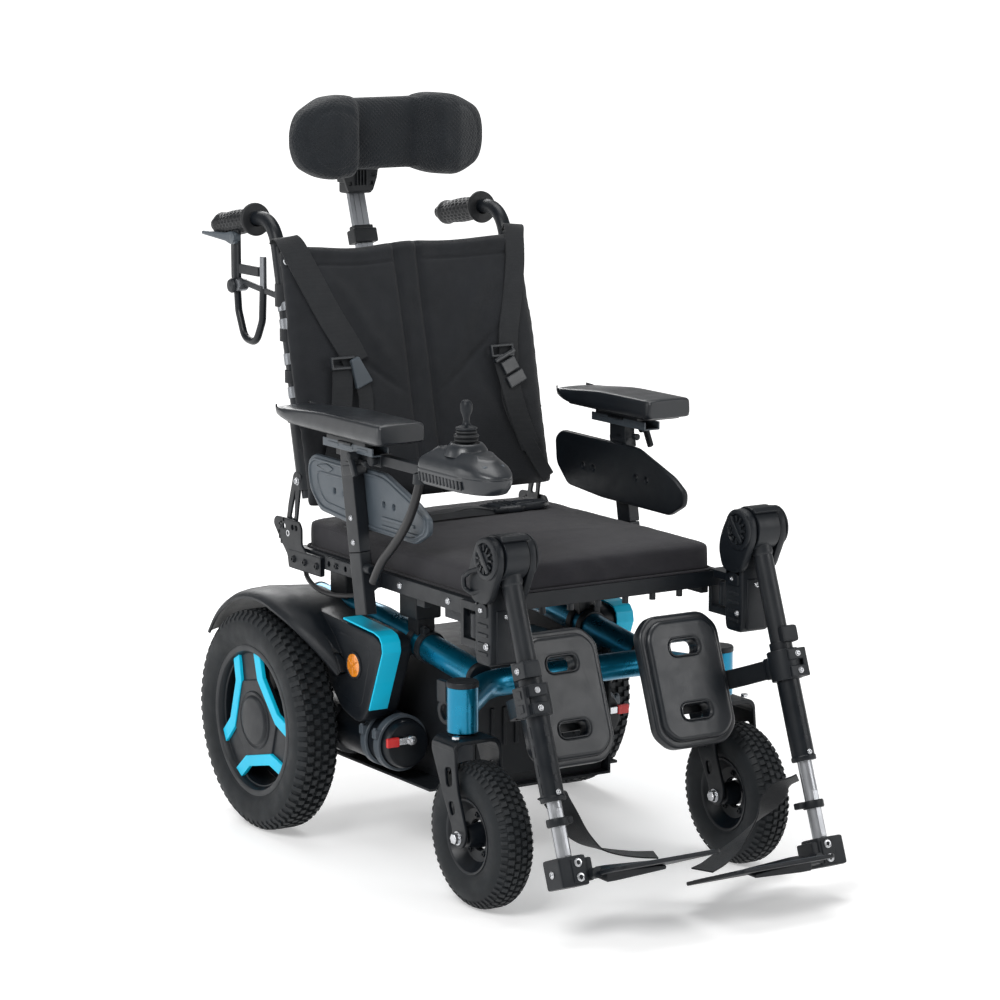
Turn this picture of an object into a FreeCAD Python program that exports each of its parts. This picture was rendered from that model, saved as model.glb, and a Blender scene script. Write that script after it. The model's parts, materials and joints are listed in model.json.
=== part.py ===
import FreeCAD, Part
import math
import os
import re
import Sketcher

# Power wheelchair, modelled in millimetres: +Z up, the user faces -Y, X = 0 is the mid-plane.
# Positions are written from the drive axle's line; axle_y moves them all to the final origin,
# the middle of the footprint on the floor.

SIZES = {
    # whole chair
    "axle_y": 300.3, "drive_radius": 178.0, "drive_track": 278.0, "caster_radius": 110.6,
    "caster_track": 233.0, "caster_pivot_y": -520.0, "caster_axle_y": -573.0,
    # drive wheels
    "tyre_width": 73.6, "tyre_shoulder": 60.0, "tyre_crown": 36.0, "bead_radius": 122.0,
    "rim_width": 60.0, "rim_inner": 101.0, "face_thick": 10.0, "shaft_radius": 10.0,
    # casters
    "axle_radius": 5.0, "fork_thick": 5.0, "fork_inside": 73.0, "crown_thick": 12.0,
    "crown_length": 66.0,
    "stem_radius": 12.0, "head_radius": 23.5, "head_height": 69.0, "head_low": 256.0,
    "play": 0.05,
    # frame tubes
    "side_tube_radius": 22.0, "side_tube_x": 150.0, "cross_radius": 21.0,
    "cap_height": 8.0, "tub_wall": 4.0, "tub_half": 124.0, "tub_front": -380.0, "tub_length": 450.0,
    "tub_height": 200.0, "tub_low": 114.0, "floor_half": 175.0, "floor_length": 310.0,
    "battery_wide": 229.0, "battery_long": 138.0, "battery_high": 190.0, "case_wall": 3.0,
    "module_wide": 180.0, "module_long": 100.0, "module_high": 58.0,
    # drive units
    "motor_radius": 40.0, "motor_x": 181.0, "gear_wide": 97.0,
    "gear_long": 100.0, "gear_high": 96.0, "band_radius": 43.0,
    "release_hub": 8.0, "release_length": 38.4, "release_thick": 4.0, "release_wide": 12.0,
    # covers
    "cover_out": 235.0, "cover_deep": 58.0, "cover_wall": 3.0, "fender_gap": 17.0,
    "fender_out": 301.0, "fender_thick": 8.0, "stripe_wide": 34.0, "reflector_radius": 15.0,
    "reflector_thick": 5.0,
    # seat
    "rail_wide": 22.0, "rail_high": 24.0, "rail_x": 216.0, "rail_low": 432.0,
    "rail_length": 525.0,
    "bar_wide": 20.0, "strut_wide": 30.0, "cushion_wide": 436.0, "cushion_deep": 526.0,
    "cushion_high": 47.0, "cushion_low": 457.0, "cushion_round": 9.0,
    "pin_radius": 6.0, "sleeve_radius": 13.0, "lug_wide": 26.0, "lug_long": 51.0,
    "lug_thick": 11.5, "lug_back_thick": 8.0, "lug_back_high": 66.0,
    # back
    "cane_x": 214.5, "cane_radius": 11.5, "hook_radius": 6.0, "back_round": 2.5,
    "back_half": 236.0, "grip_radius": 16.0, "grip_length": 122.0, "flange_radius": 24.0,
    "plate_thick": 4.0, "foot_plate_thick": 9.0, "pivot_radius": 5.0, "row_hole": 3.0,
    "back_bar_thick": 6.0, "back_bar_high": 26.0, "holder_wide": 56.0, "holder_deep": 105.8,
    "holder_high": 26.0, "holder_bore": 78.0, "lever_thick": 4.0, "lever_length": 109.4,
    "lever_high": 6.0,
    "strap_thick": 2.5, "stem_wide": 30.0, "stem_thick": 10.0, "stem_length": 190.0,
    # headrest
    "knee_wide": 56.0, "knee_deep": 34.0, "knee_high": 24.0, "cheek_wide": 6.0,
    "cheek_deep": 30.0, "cheek_high": 41.6, "headrest_high": 129.0, "headrest_round": 6.0,
    "pad_lug_wide": 41.6, "pad_lug_long": 58.0, "pad_lug_high": 28.0,
    # arms
    "post_long": 35.0, "post_wide": 20.0, "post_x": 250.0, "socket_length": 96.0,
    "socket_wall": 4.0, "tongue_length": 70.0, "post_length": 142.0, "pad_wide": 82.0,
    "panel_thick": 13.5, "panel_x": 233.25, "panel_hole": 3.5, "bracket_wide": 30.0,
    "edge_round": 3.0, "head_long": 119.0, "head_plate_high": 10.4, "neck_long": 45.5,
    "neck_high": 40.0,
    # joystick
    "pod_x": -235.0, "pod_high": 41.0, "pod_middle": 645.0, "stick_y": -535.0, "button_radius": 5.0,
    "rail_bar_wide": 14.8, "rail_bar_long": 279.0, "rail_bar_high": 16.0,
    "dome_base": 39.5, "dome_top": 22.0, "dome_low": 664.0, "dome_high": 28.0, "boot_base": 15.0,
    "boot_top": 8.0, "boot_high": 12.0, "gimbal_shaft": 3.5,
    # legrests
    "leg_x": 225.0, "drum_y": -628.0, "drum_z": 536.0, "drum_radius": 34.0, "swing_y": -562.0,
    "cheek_thick": 14.0, "leg_radius": 15.0, "sleeve_out": 17.5, "inner_radius": 11.0,
    "hanger_high": 116.6, "web_high": 36.0,
    "leg_lean": 20.5, "calf_wide": 146.0, "calf_high": 204.0, "calf_thick": 30.0,
    "calf_corner": 26.0, "calf_middle": 205.0, "calf_set_back": 100.0, "calf_inset": 114.0,
    "calf_slot_wide": 50.0, "calf_slot_deep": 36.0, "calf_slot_high": 21.0,
    "calf_slot_rise": 49.0, "clamp_radius": 24.0,
    "calf_arm_thick": 8.0, "calf_arm_long": 120.0, "calf_cross_long": 60.0,
    "heel_strap_wide": 26.0, "foot_wide": 186.0, "foot_long": 145.0, "foot_thick": 6.0,
    "block_wide": 47.0, "block_long": 44.0, "block_high": 44.0, "knuckle_radius": 8.0,
    "left_drop": 36.0,
    # cords, belt and eyes
    "stick_cord_radius": 7.0, "loom_radius": 4.0, "belt_long": 262.0, "belt_wide": 46.4,
    "buckle_long": 108.0, "buckle_wide": 58.0, "buckle_high": 13.0, "eye_radius": 18.0,
    "eye_bore": 12.0, "eye_thick": 8.0, "eye_tail_wide": 26.0, "eye_tail_high": 47.0,
}

doc = FreeCAD.newDocument("power_wheelchair")
sheet = doc.addObject("Spreadsheet::Sheet", "Sheet")
for row, (alias, value) in enumerate(SIZES.items(), start=1):
    sheet.set("A%d" % row, alias)
    sheet.set("B%d" % row, "%g" % value)
    sheet.setAlias("B%d" % row, alias)
doc.recompute()

NODES = []
SIDES = (("right", -1), ("left", 1))
V = FreeCAD.Vector
X_AXIS = V(1, 0, 0)
Y_AXIS = V(0, 1, 0)
Z_AXIS = V(0, 0, 1)


def size(alias):
    """A driving dimension, as the sheet holds it."""
    return float(getattr(sheet, alias))


def formula(text):
    """Write a size formula with the sheet's name in front of each alias."""
    return re.sub(r"[a-z]\w*", lambda word: "Sheet." + word.group(), str(text))


def bind(item, sizes):
    """Tie properties of an object to formulas on the sheet."""
    for name, text in sizes.items():
        item.setExpression(name, formula(text))


def spot(x, y, z):
    """A place given from the axle's line, in the part's own frame."""
    return V(x, y + size("axle_y"), z)


def lean(degrees):
    """A turn about the X axis; the top of a standing piece goes back."""
    return FreeCAD.Rotation(X_AXIS, -degrees)


def node(item, label):
    """Name an object as a finished sub-part."""
    item.Label = label
    NODES.append(item)
    return item


def block(name, lengths, low_corner, turn=None):
    """A box from its low corner, with its three lengths bound to the sheet."""
    item = doc.addObject("Part::Box", name)
    bind(item, dict(zip(("Length", "Width", "Height"), lengths)))
    item.Placement = FreeCAD.Placement(spot(*low_corner), turn or FreeCAD.Rotation())
    return item


def slab(name, lengths, middle, turn=None):
    """A box placed by its middle, turned about that middle."""
    item = block(name, lengths, (0, 0, 0), turn)
    doc.recompute()
    half = V(float(item.Length) / 2, float(item.Width) / 2, float(item.Height) / 2)
    item.Placement.Base = spot(*middle) - item.Placement.Rotation.multVec(half)
    return item


def rod(name, radius, start, end):
    """A round bar between two points."""
    item = doc.addObject("Part::Cylinder", name)
    bind(item, {"Radius": radius})
    along = V(*end) - V(*start)
    item.Height = along.Length
    item.Placement = FreeCAD.Placement(spot(*start), FreeCAD.Rotation(Z_AXIS, along))
    return item


def fuse(name, *pieces):
    """Pieces welded or moulded into one."""
    item = doc.addObject("Part::MultiFuse", name)
    item.Shapes = list(pieces)
    item.Refine = True
    return item


def cut(name, base, *tools):
    """A piece with material taken away."""
    tool = tools[0] if len(tools) == 1 else fuse(name + "_tool", *tools)
    item = doc.addObject("Part::Cut", name)
    item.Base = base
    item.Tool = tool
    return item


def group(name, *pieces):
    """Separate pieces that share a node."""
    item = doc.addObject("Part::Compound", name)
    item.Links = list(pieces)
    return item


def origin_feature(body, role):
    """A body's own plane or axis."""
    return [part for part in body.Origin.OriginFeatures if part.Role == role][0]


def draw_loop(sketch, points):
    """A closed run of lines whose corners are held by dimensions from the origin."""
    first = sketch.GeometryCount
    count = len(points)
    places = [V(float(across), float(up), 0) for across, up in points]
    for index in range(count):
        line = Part.LineSegment(places[index], places[(index + 1) % count])
        sketch.addGeometry(line, False)
    for index in range(count):
        following = first + (index + 1) % count
        sketch.addConstraint(Sketcher.Constraint("Coincident", first + index, 2, following, 1))
    for index, place in enumerate(places):
        for kind, distance in (("DistanceX", place.x), ("DistanceY", place.y)):
            corner = Sketcher.Constraint(kind, -1, 1, first + index, 1, distance)
            sketch.addConstraint(corner)


def draw_circle(sketch, across, up, radius):
    """A round hole, its radius bound to the sheet."""
    circle = Part.Circle(V(across, up, 0), Z_AXIS, 1)
    index = sketch.addGeometry(circle, False)
    sketch.addConstraint(Sketcher.Constraint("DistanceX", -1, 1, index, 3, across))
    sketch.addConstraint(Sketcher.Constraint("DistanceY", -1, 1, index, 3, up))
    bound = sketch.addConstraint(Sketcher.Constraint("Radius", index, 1))
    sketch.setExpression("Constraints[%d]" % bound, formula(radius))


def sketched_body(name, plane, outline, holes=(), windows=()):
    """A body with one sketch on one of its own planes."""
    body = doc.addObject("PartDesign::Body", name)
    sketch = body.newObject("Sketcher::SketchObject", name + "_sketch")
    sketch.AttachmentSupport = [(origin_feature(body, plane), "")]
    sketch.MapMode = "FlatFace"
    draw_loop(sketch, outline)
    for window in windows:
        draw_loop(sketch, window)
    for hole in holes:
        draw_circle(sketch, *hole)
    return body, sketch


def plate(name, plane, outline, thick, offset=0.0, rounding=None, holes=(), windows=()):
    """An outline padded evenly to both sides of its plane, then moved along the normal."""
    body, sketch = sketched_body(name, plane, outline, holes, windows)
    pad = body.newObject("PartDesign::Pad", name + "_pad")
    pad.Profile = sketch
    pad.SideType = "Symmetric"
    bind(pad, {"Length": thick})
    normal = {"YZ_Plane": X_AXIS, "XZ_Plane": Y_AXIS, "XY_Plane": Z_AXIS}[plane]
    if rounding:
        doc.recompute()
        corners = []
        for index, edge in enumerate(pad.Shape.Edges, start=1):
            tangent = edge.tangentAt(edge.FirstParameter)
            if edge.Curve.TypeId == "Part::GeomLine" and abs(tangent.dot(normal)) > 0.99:
                corners.append("Edge%d" % index)
        fillet = body.newObject("PartDesign::Fillet", name + "_rounding")
        fillet.Base = (pad, corners)
        bind(fillet, {"Radius": rounding})
    body.Placement = FreeCAD.Placement(spot(0, 0, 0) + normal * offset, FreeCAD.Rotation())
    return body


def turned(name, outline, middle, axis="X_Axis"):
    """A half outline turned round the X or Z axis."""
    body, sketch = sketched_body(name, "XZ_Plane", outline)
    turn = body.newObject("PartDesign::Revolution", name + "_turn")
    turn.Profile = sketch
    turn.ReferenceAxis = (origin_feature(body, axis), [""])
    turn.Angle = 360
    body.Placement.Base = spot(*middle)
    return body


def path_wire(points):
    """Straight runs joined by tangent arcs as large as the runs allow."""
    places = [spot(*point) for point in points]
    edges = []
    radii = []
    start = places[0]
    for before, corner, after in zip(places, places[1:], places[2:]):
        into = corner - before
        out = after - corner
        half = into.getAngle(out) / 2
        reach = 0.45 * min(into.Length, out.Length)
        first = corner - into.normalize() * reach
        last = corner + out.normalize() * reach
        radius = reach / math.tan(half)
        inward = ((first + last) * 0.5 - corner).normalize()
        middle = corner + inward * (radius / math.cos(half) - radius)
        edges.append(Part.LineSegment(start, first).toShape())
        edges.append(Part.Arc(first, middle, last).toShape())
        radii.append(radius)
        start = last
    edges.append(Part.LineSegment(start, places[-1]).toShape())
    return Part.Wire(edges), radii


def bent_tube(name, points, radius, wall=None):
    """A round tube, or a solid cord when it has no wall, swept along a bent path."""
    wire, radii = path_wire(points)
    start = wire.Edges[0].valueAt(wire.Edges[0].FirstParameter)
    along = wire.Edges[0].tangentAt(wire.Edges[0].FirstParameter)
    rings = [radius] if wall is None else [radius, radius - wall]
    solids = []
    for ring in rings:
        profile = Part.Wire(Part.Circle(start, along, ring).toShape())
        solids.append(wire.makePipeShell([profile], True, True))
    shape = solids[0] if wall is None else solids[0].cut(solids[1])
    item = doc.addObject("Part::Feature", name)
    item.Shape = shape
    item.Placement = FreeCAD.Placement()
    section = math.pi * (radius ** 2 - (rings[-1] ** 2 if wall else 0))
    print(name, "bend radii", [round(r) for r in radii],
          "volume ratio %.3f" % (shape.Volume / (section * wire.Length)))
    return item


def frame_tubes():
    """Two sloping side tubes, coped onto a front tube that carries the caster head tubes."""
    track = size("caster_track")
    pivot = size("caster_pivot_y")
    bow = [(-track, pivot, 292), (-150, -452, 305), (150, -452, 305), (track, pivot, 292)]
    cross = bent_tube("cross_tube", bow, size("cross_radius"))
    heads = []
    bores = []
    caps = []
    low = size("head_low")
    top = low + size("head_height")
    for side, sign in SIDES:
        x = sign * track
        heads.append(rod("head_" + side, "head_radius", (x, pivot, low), (x, pivot, top)))
        bores.append(rod("head_bore_" + side, "stem_radius + play", (x, pivot, low - 1),
                         (x, pivot, top + 1)))
        caps.append(rod("head_cap_" + side, "head_radius + 1", (x, pivot, top),
                        (x, pivot, top + size("cap_height"))))
    front = node(cut("front_frame", fuse("front_weld", cross, *heads), *bores), "front_frame")
    tubes = []
    for side, sign in SIDES:
        x = sign * size("side_tube_x")
        run = [(x, 52, 356), (x, -150, 352), (x, -432, 313)]
        tubes.append(bent_tube("side_tube_" + side, run, size("side_tube_radius")))
        end = rod("side_cap_" + side, "side_tube_radius", run[-1], (x, -436, 313 - 4 * 39 / 282))
        caps.append(cut("side_plug_" + side, end, cross))
    node(cut("side_tubes", group("tube_pair", *tubes), cross), "side_tubes")
    node(group("tube_caps", *caps), "tube_caps")
    return front


def chassis():
    """A sheet tub between the side tubes, with the boxed batteries and the power module."""
    front = size("tub_front")
    low = size("tub_low")
    half = size("tub_half")
    wall = "tub_wall"
    parts = [block("tub_side_" + side, (wall, "tub_length", "tub_height"),
                   (x, front, low)) for side, x in (("right", -half - 4), ("left", half))]
    parts.append(block("tub_floor", ("2 * tub_half", "tub_length", wall), (-half, front, low)))
    wing = size("floor_half")
    wide = block("tub_wings", ("2 * floor_half", "floor_length", wall), (-wing, -330, low))
    node(fuse("chassis_tub", wide, *parts), "chassis_tub")
    outer = block("case_outer", ("battery_wide + 2 * case_wall + 4",
                                 "2 * battery_long + 2 * case_wall + 6",
                                 "battery_high + 2 * case_wall + 2"), (-119.5, -366, low + 4))
    inner = block("case_inner", ("battery_wide + 4", "2 * battery_long + 6", "battery_high + 2"),
                  (-116.5, -363, low + 7))
    node(cut("battery_case", outer, inner), "battery_case")
    cells = [block("battery_%d" % index, ("battery_wide", "battery_long", "battery_high"),
                   (-114.5, -361 + index * 140, low + 7)) for index in range(2)]
    node(group("batteries", *cells), "batteries")
    node(block("power_module", ("module_wide", "module_long", "module_high"),
               (-90, -60, low + 4)), "power_module")


def drive_units():
    """Gearbox and in-line motor each side, with the brake release lever on the motor's end."""
    units = []
    height = size("drive_radius")
    for side, sign in SIDES:
        inner = sign * 128 if sign > 0 else -128 - size("gear_wide")
        gear = block("gear_" + side, ("gear_wide", "gear_long", "gear_high"), (inner, -50, 132))
        bore = rod("gear_bore_" + side, "shaft_radius + play", (sign * 160, 0, height),
                   (sign * 230, 0, height))
        x = sign * size("motor_x")
        motor = rod("motor_" + side, "motor_radius", (x, -55, height),
                    (x, -278, height))
        bands = [rod("band_%s_%d" % (side, y), "band_radius", (x, -y, height),
                     (x, -y - 16, height)) for y in (205, 245)]
        units.append(cut("drive_unit_" + side, fuse("drive_weld_" + side, gear, motor, *bands),
                         bore))
        pivot = rod("release_hub_" + side, "release_hub", (x, -278.5, 188), (x, -290, 188))
        arm = block("release_arm_" + side, ("release_length", "release_thick", "release_wide"),
                    (x - 40 if sign < 0 else x + 2, -288, 182))
        node(fuse("release_lever_" + side, pivot, arm), "release_lever_" + side)
    node(group("drive_units", *units), "drive_units")


def covers():
    """Moulded side covers with the fender, the colour band over their front edge, reflectors."""
    stripes = []
    lenses = []
    outline = [(-285, 333), (-278, 349), (-262, 355), (-90, 368), (-20, 384), (30, 384), (30, 380),
               (-20, 380), (-90, 364), (-260, 351), (-274, 345), (-280, 333), (-246, 246),
               (-232, 236), (-234, 232), (-250, 244)]
    side_skin = [(-285, 333), (-278, 349), (-262, 355), (-150, 363.4), (-110, 366), (-160, 300),
                 (-186, 230), (-200, 210), (-225, 214), (-250, 244)]
    height = size("drive_radius")
    for side, sign in SIDES:
        out = size("cover_out")
        deep = size("cover_deep")
        middle = sign * (out - deep / 2)
        shell = plate("cover_shell_" + side, "YZ_Plane", outline, "cover_deep", middle)
        skin = plate("cover_skin_" + side, "YZ_Plane", side_skin, "cover_wall",
                     sign * (out - size("cover_wall") / 2))
        inner = size("drive_radius") + size("fender_gap")
        wheel_side = sign * (out - deep + (size("fender_out") - out + deep) / 2)
        arch = []
        rim = inner + size("fender_thick")
        for radius, angles in ((rim, range(38, 151, 4)), (inner, range(150, 37, -4))):
            for angle in angles:
                turn = math.radians(angle)
                arch.append((radius * math.cos(turn), height + radius * math.sin(turn)))
        fender = plate("fender_" + side, "YZ_Plane", arch, "fender_out - cover_out + cover_deep",
                       wheel_side)
        node(fuse("side_cover_" + side, shell, skin, fender), "side_cover_" + side)
        band = [(-286.8, 333), (-279, 350.5), (-262.6, 356.7), (-165, 364), (-165, 362.4),
                (-262, 355.1), (-278, 349.1), (-285.1, 333), (-250.1, 244), (-251.8, 244)]
        stripes.append(plate("stripe_" + side, "YZ_Plane", band, "stripe_wide",
                             sign * (out - size("stripe_wide") / 2)))
        lenses.append(rod("reflector_" + side, "reflector_radius", (sign * out, -205, 298),
                          (sign * (out + size("reflector_thick")), -205, 298)))
    node(group("cover_stripes", *stripes), "cover_stripes")
    node(group("reflectors", *lenses), "reflectors")


def seat():
    """Seat rails on four struts, with the hinge lugs for the legrests, and the cushion."""
    low = size("rail_low")
    front = -536
    swing_y = size("swing_y")
    members = []
    for side, sign in SIDES:
        rail_x = sign * size("rail_x") - size("rail_wide") / 2
        members.append(block("rail_" + side, ("rail_wide", "rail_length", "rail_high"),
                             (rail_x, front, low)))
        for index, y in enumerate((-280, -60)):
            members.append(block("strut_%s_%d" % (side, index), ("strut_wide", "strut_wide",
                                 "rail_low - 340"), (sign * 150 - 15, y, 340)))
        pin_x = sign * size("leg_x")
        lug_x = pin_x - size("lug_wide") / 2
        strap = block("lug_back_" + side, ("lug_wide", "lug_back_thick", "lug_back_high"),
                      (lug_x, swing_y + 31, 390))
        lugs = [block("lug_%s_%d" % (side, z), ("lug_wide", "lug_long", "lug_thick"),
                      (lug_x, swing_y - 13, z)) for z in (390, 446)]
        pin = rod("swing_pin_" + side, "pin_radius", (pin_x, swing_y, 390),
                  (pin_x, swing_y, 458))
        members += [strap, pin] + lugs
    for index, y in enumerate((front, -280, -60)):
        members.append(block("seat_bar_%d" % index, ("2 * rail_x", "bar_wide", "rail_high"),
                             (-216, y, low)))
    tubes = [item for item in NODES if item.Label == "side_tubes"][0]
    node(cut("seat_frame", fuse("seat_weld", *members), tubes), "seat_frame")
    pad = block("cushion_block", ("cushion_wide", "cushion_deep", "cushion_high"),
                (-218, -536, size("cushion_low")))
    soft = doc.addObject("Part::Fillet", "cushion_rounded")
    doc.recompute()
    soft.Base = pad
    round_off = size("cushion_round")
    soft.Edges = [(index, round_off, round_off) for index in range(1, len(pad.Shape.Edges) + 1)]
    node(soft, "seat_cushion")


def recline_hinges():
    """Pierced plates on the rear of the seat rails, with the pivot pins of the back."""
    plates = []
    outline = [(-100, 420), (4, 420), (8, 440), (52, 484), (44, 498), (-30, 498), (-38, 462),
               (-52, 452), (-100, 452)]
    row = [(y, 486 - 0.05 * y, "row_hole") for y in (-22, -10, 18, 30)]
    for side, sign in SIDES:
        thin = plate("hinge_" + side, "YZ_Plane", outline, "plate_thick", sign * 233.6, None, row)
        thick = plate("hinge_foot_" + side, "YZ_Plane", [(-100, 420), (4, 420), (4, 452),
                      (-100, 452)], "foot_plate_thick", sign * 231.6)
        pin = rod("recline_pin_" + side, "pivot_radius", (sign * 226, 5, 475),
                  (sign * 238, 5, 475))
        plates.append(fuse("hinge_plate_" + side, thin, thick, pin))
    node(group("hinge_plates", *plates), "hinge_plates")


def back_line(z, behind=0.0):
    """Where the canes' centre line is at a height, or a distance behind it."""
    return -14 + (z - 598) * 0.238 + behind


def backrest():
    """Two canes with push handles, the padded back between them, harness and hanging hook."""
    angle = math.degrees(math.atan(0.238))
    canes = []
    grips = []
    for side, sign in SIDES:
        x = sign * size("cane_x")
        run = [(x, back_line(535), 535), (x, back_line(740), 740), (x, back_line(978) + 1, 976),
               (x, 272, 947)]
        wire = bent_tube("cane_" + side, [run[0], run[2], run[3]], size("cane_radius"))
        outline = [(-11, 475), (-11, 466), (0, 459), (10, 459), (21, 468), (21, 480), (-6, 572),
                   (-31, 572)]
        window = [(-8, 500), (6, 500), (-12, 548)]
        bracket = plate("bracket_" + side, "YZ_Plane", outline, "plate_thick", sign * 229, None,
                        [(5, 475, "pivot_radius + play")], [window])
        boss = rod("boss_" + side, "pivot_radius", (sign * 216, -24, 558), (sign * 228, -24, 558))
        canes += [wire, bracket, boss]
        start = V(x, 136, 966)
        along = V(0, 136, -21).normalize()
        base = (start.x, start.y, start.z)
        tip = start + along * size("grip_length")
        grip = rod("grip_" + side, "grip_radius", base, (tip.x, tip.y, tip.z))
        lip = start + along * 6
        flange = rod("flange_" + side, "flange_radius", base, (lip.x, lip.y, lip.z))
        grips.append(cut("push_grip_" + side, fuse("grip_body_" + side, grip, flange), wire))
    bar = slab("back_bar", ("2 * cane_x", "back_bar_thick", "back_bar_high"),
               (0, back_line(870, 12.5), 870), lean(angle))
    holder = slab("stem_holder", ("holder_wide", "holder_deep", "holder_high"),
                  (0, back_line(870, 64), 874))
    slot = slab("stem_slot", ("stem_wide + 2 * play", "stem_thick + 2 * play", "holder_bore"),
                (0, 148, 870), lean(18.3))
    hook_x = -226.5
    run = [(hook_x, 184, 925), (hook_x, 184, 870), (hook_x, 178, 815), (hook_x, 158, 772),
           (hook_x, 120, 768), (hook_x, 98, 806), (hook_x, 94, 850)]
    stay = rod("hook_stay", "pivot_radius", (hook_x, 52, 852), (hook_x, 182, 866))
    hook = bent_tube("hook_rod", run, size("hook_radius"))
    node(cut("back_canes", fuse("cane_weld", bar, holder, hook, stay, *canes), slot),
         "back_canes")
    handle = rod("lever_hub", "pivot_radius", (hook_x - 8, 178, 934), (hook_x + 4, 178, 934))
    blade = block("lever_blade", ("lever_thick", "lever_length", "lever_high"),
                  (hook_x - 7, 178, 931))
    node(fuse("recline_lever", handle, blade), "recline_lever")
    node(group("push_grips", *grips), "push_grips")
    low = 518
    high = 936
    upright = [(back_line(low, -30), low), (back_line(low, -12.5), low),
               (back_line(high, -12.5), high), (back_line(high, -30), high)]
    node(plate("back_upholstery", "YZ_Plane", upright, "2 * back_half", 0, "back_round"),
         "back_upholstery")
    straps = []
    for side, sign in SIDES:
        points = [(sign * 232, 925), (sign * 186, 925), (sign * 130, 720), (sign * 172, 720)]
        strap = plate("strap_" + side, "XZ_Plane", points, "strap_thick")
        strap.Placement = FreeCAD.Placement(spot(0, back_line(0, -32.6), 0),
                                            lean(angle))
        strap.Placement.Base.z = 0
        straps.append(strap)
    node(group("harness_straps", *straps), "harness_straps")


def headrest():
    """Flat stem with its bracket, and a pad with forward wings on a tilting lug."""
    rise = 42
    middle = (0, 148 + rise * math.tan(math.radians(18.3)), 870 + rise)
    stem = slab("stem_bar", ("stem_wide", "stem_thick", "stem_length"), middle, lean(18.3))
    knee = block("stem_knee", ("knee_wide", "knee_deep", "knee_high"), (-28, 172, 996))
    cheeks = [block("cheek_" + side, ("cheek_wide", "cheek_deep", "cheek_high"), (x, 172, 1018))
              for side, x in (("right", -28), ("left", 22))]
    pin = rod("tilt_pin", "pivot_radius", (-28, 186, 1046), (28, 186, 1046))
    node(fuse("headrest_stem", stem, knee, pin, *cheeks), "headrest_stem")
    plan = [(-176, 62), (-163, 43), (-149, 43), (-98, 88), (98, 88), (149, 43), (163, 43),
            (176, 62), (172, 100), (118, 140), (-118, 140), (-172, 100)]
    pad = plate("pad_block", "XY_Plane", plan, "headrest_high", 1096, "headrest_round")
    lug = block("pad_lug", ("pad_lug_wide", "pad_lug_long", "pad_lug_high"), (-20.8, 139, 1034))
    bore = rod("lug_bore", "pivot_radius + play", (-30, 186, 1046), (30, 186, 1046))
    node(cut("headrest_pad", fuse("pad_weld", pad, lug), bore), "headrest_pad")


def arm_point(sign, along, across=0.0):
    """A point up the leaning arm post from its socket's foot."""
    turn = math.radians(10.5)
    foot = (-267, 391)
    return (sign * size("post_x"), foot[0] + along * math.sin(turn) + across * math.cos(turn),
            foot[1] + along * math.cos(turn) - across * math.sin(turn))


def arms():
    """Armrest sockets on the seat rails, and posts that slide in them with pad and side panel."""
    turn = lean(10.5)
    length = size("socket_length")
    sockets = []
    for side, sign in SIDES:
        shell = slab("socket_shell_" + side, ("post_wide", "post_long", "socket_length"),
                     arm_point(sign, length / 2), turn)
        hollow = slab("socket_hollow_" + side, ("post_wide - 2 * socket_wall",
                      "post_long - 2 * socket_wall", "socket_length + 40"),
                      arm_point(sign, length / 2), turn)
        x = 227 if sign > 0 else -227 - 13.3
        arm = block("socket_arm_" + side, ("panel_thick - play * 4", "post_long", "rail_high"),
                    (x, -276, size("rail_low")))
        sockets.append(cut("socket_" + side, fuse("socket_weld_" + side, shell, arm), hollow))
        tongue = slab("tongue_" + side, ("post_wide - 2 * socket_wall - 2 * play",
                      "post_long - 2 * socket_wall - 2 * play", "tongue_length + 4"),
                      arm_point(sign, length - size("tongue_length") / 2 + 2), turn)
        post = slab("post_bar_" + side, ("post_wide", "post_long", "post_length"),
                    arm_point(sign, length + 0.4 + size("post_length") / 2), turn)
        x = sign * size("post_x")
        head = block("post_head_" + side, ("bracket_wide", "head_long", "head_plate_high"),
                     (x - 15, -292, 656))
        neck = block("post_neck_" + side, ("post_wide", "neck_long", "neck_high"),
                     (x - 10, -252, 620))
        node(fuse("arm_post_" + side, tongue, post, head, neck), "arm_post_" + side)
        rear = -32 if sign < 0 else -90
        outline = [(-369, 668), (-369, 693), (-300, 699), (-190, 699), (rear + 30, 689),
                   (rear, 683), (rear, 675), (rear - 60, 667), (-320, 666.8)]
        node(plate("pad_" + side, "YZ_Plane", outline, "pad_wide", sign * 245, "edge_round"),
             "arm_pad_" + side)
        panel = [(-66, 602), (-70, 560), (-104, 528), (-200, 520), (-392, 518), (-430, 538),
                 (-432, 560), (-400, 580), (-300, 614), (-84, 616)]
        holes = [(y, 566, "panel_hole") for y in (-150, -180, -300, -330)]
        node(plate("panel_" + side, "YZ_Plane", panel, "panel_thick - play * 2",
                   sign * size("panel_x"), "edge_round", holes), "side_panel_" + side)
    node(group("arm_sockets", *sockets), "arm_sockets")


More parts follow.
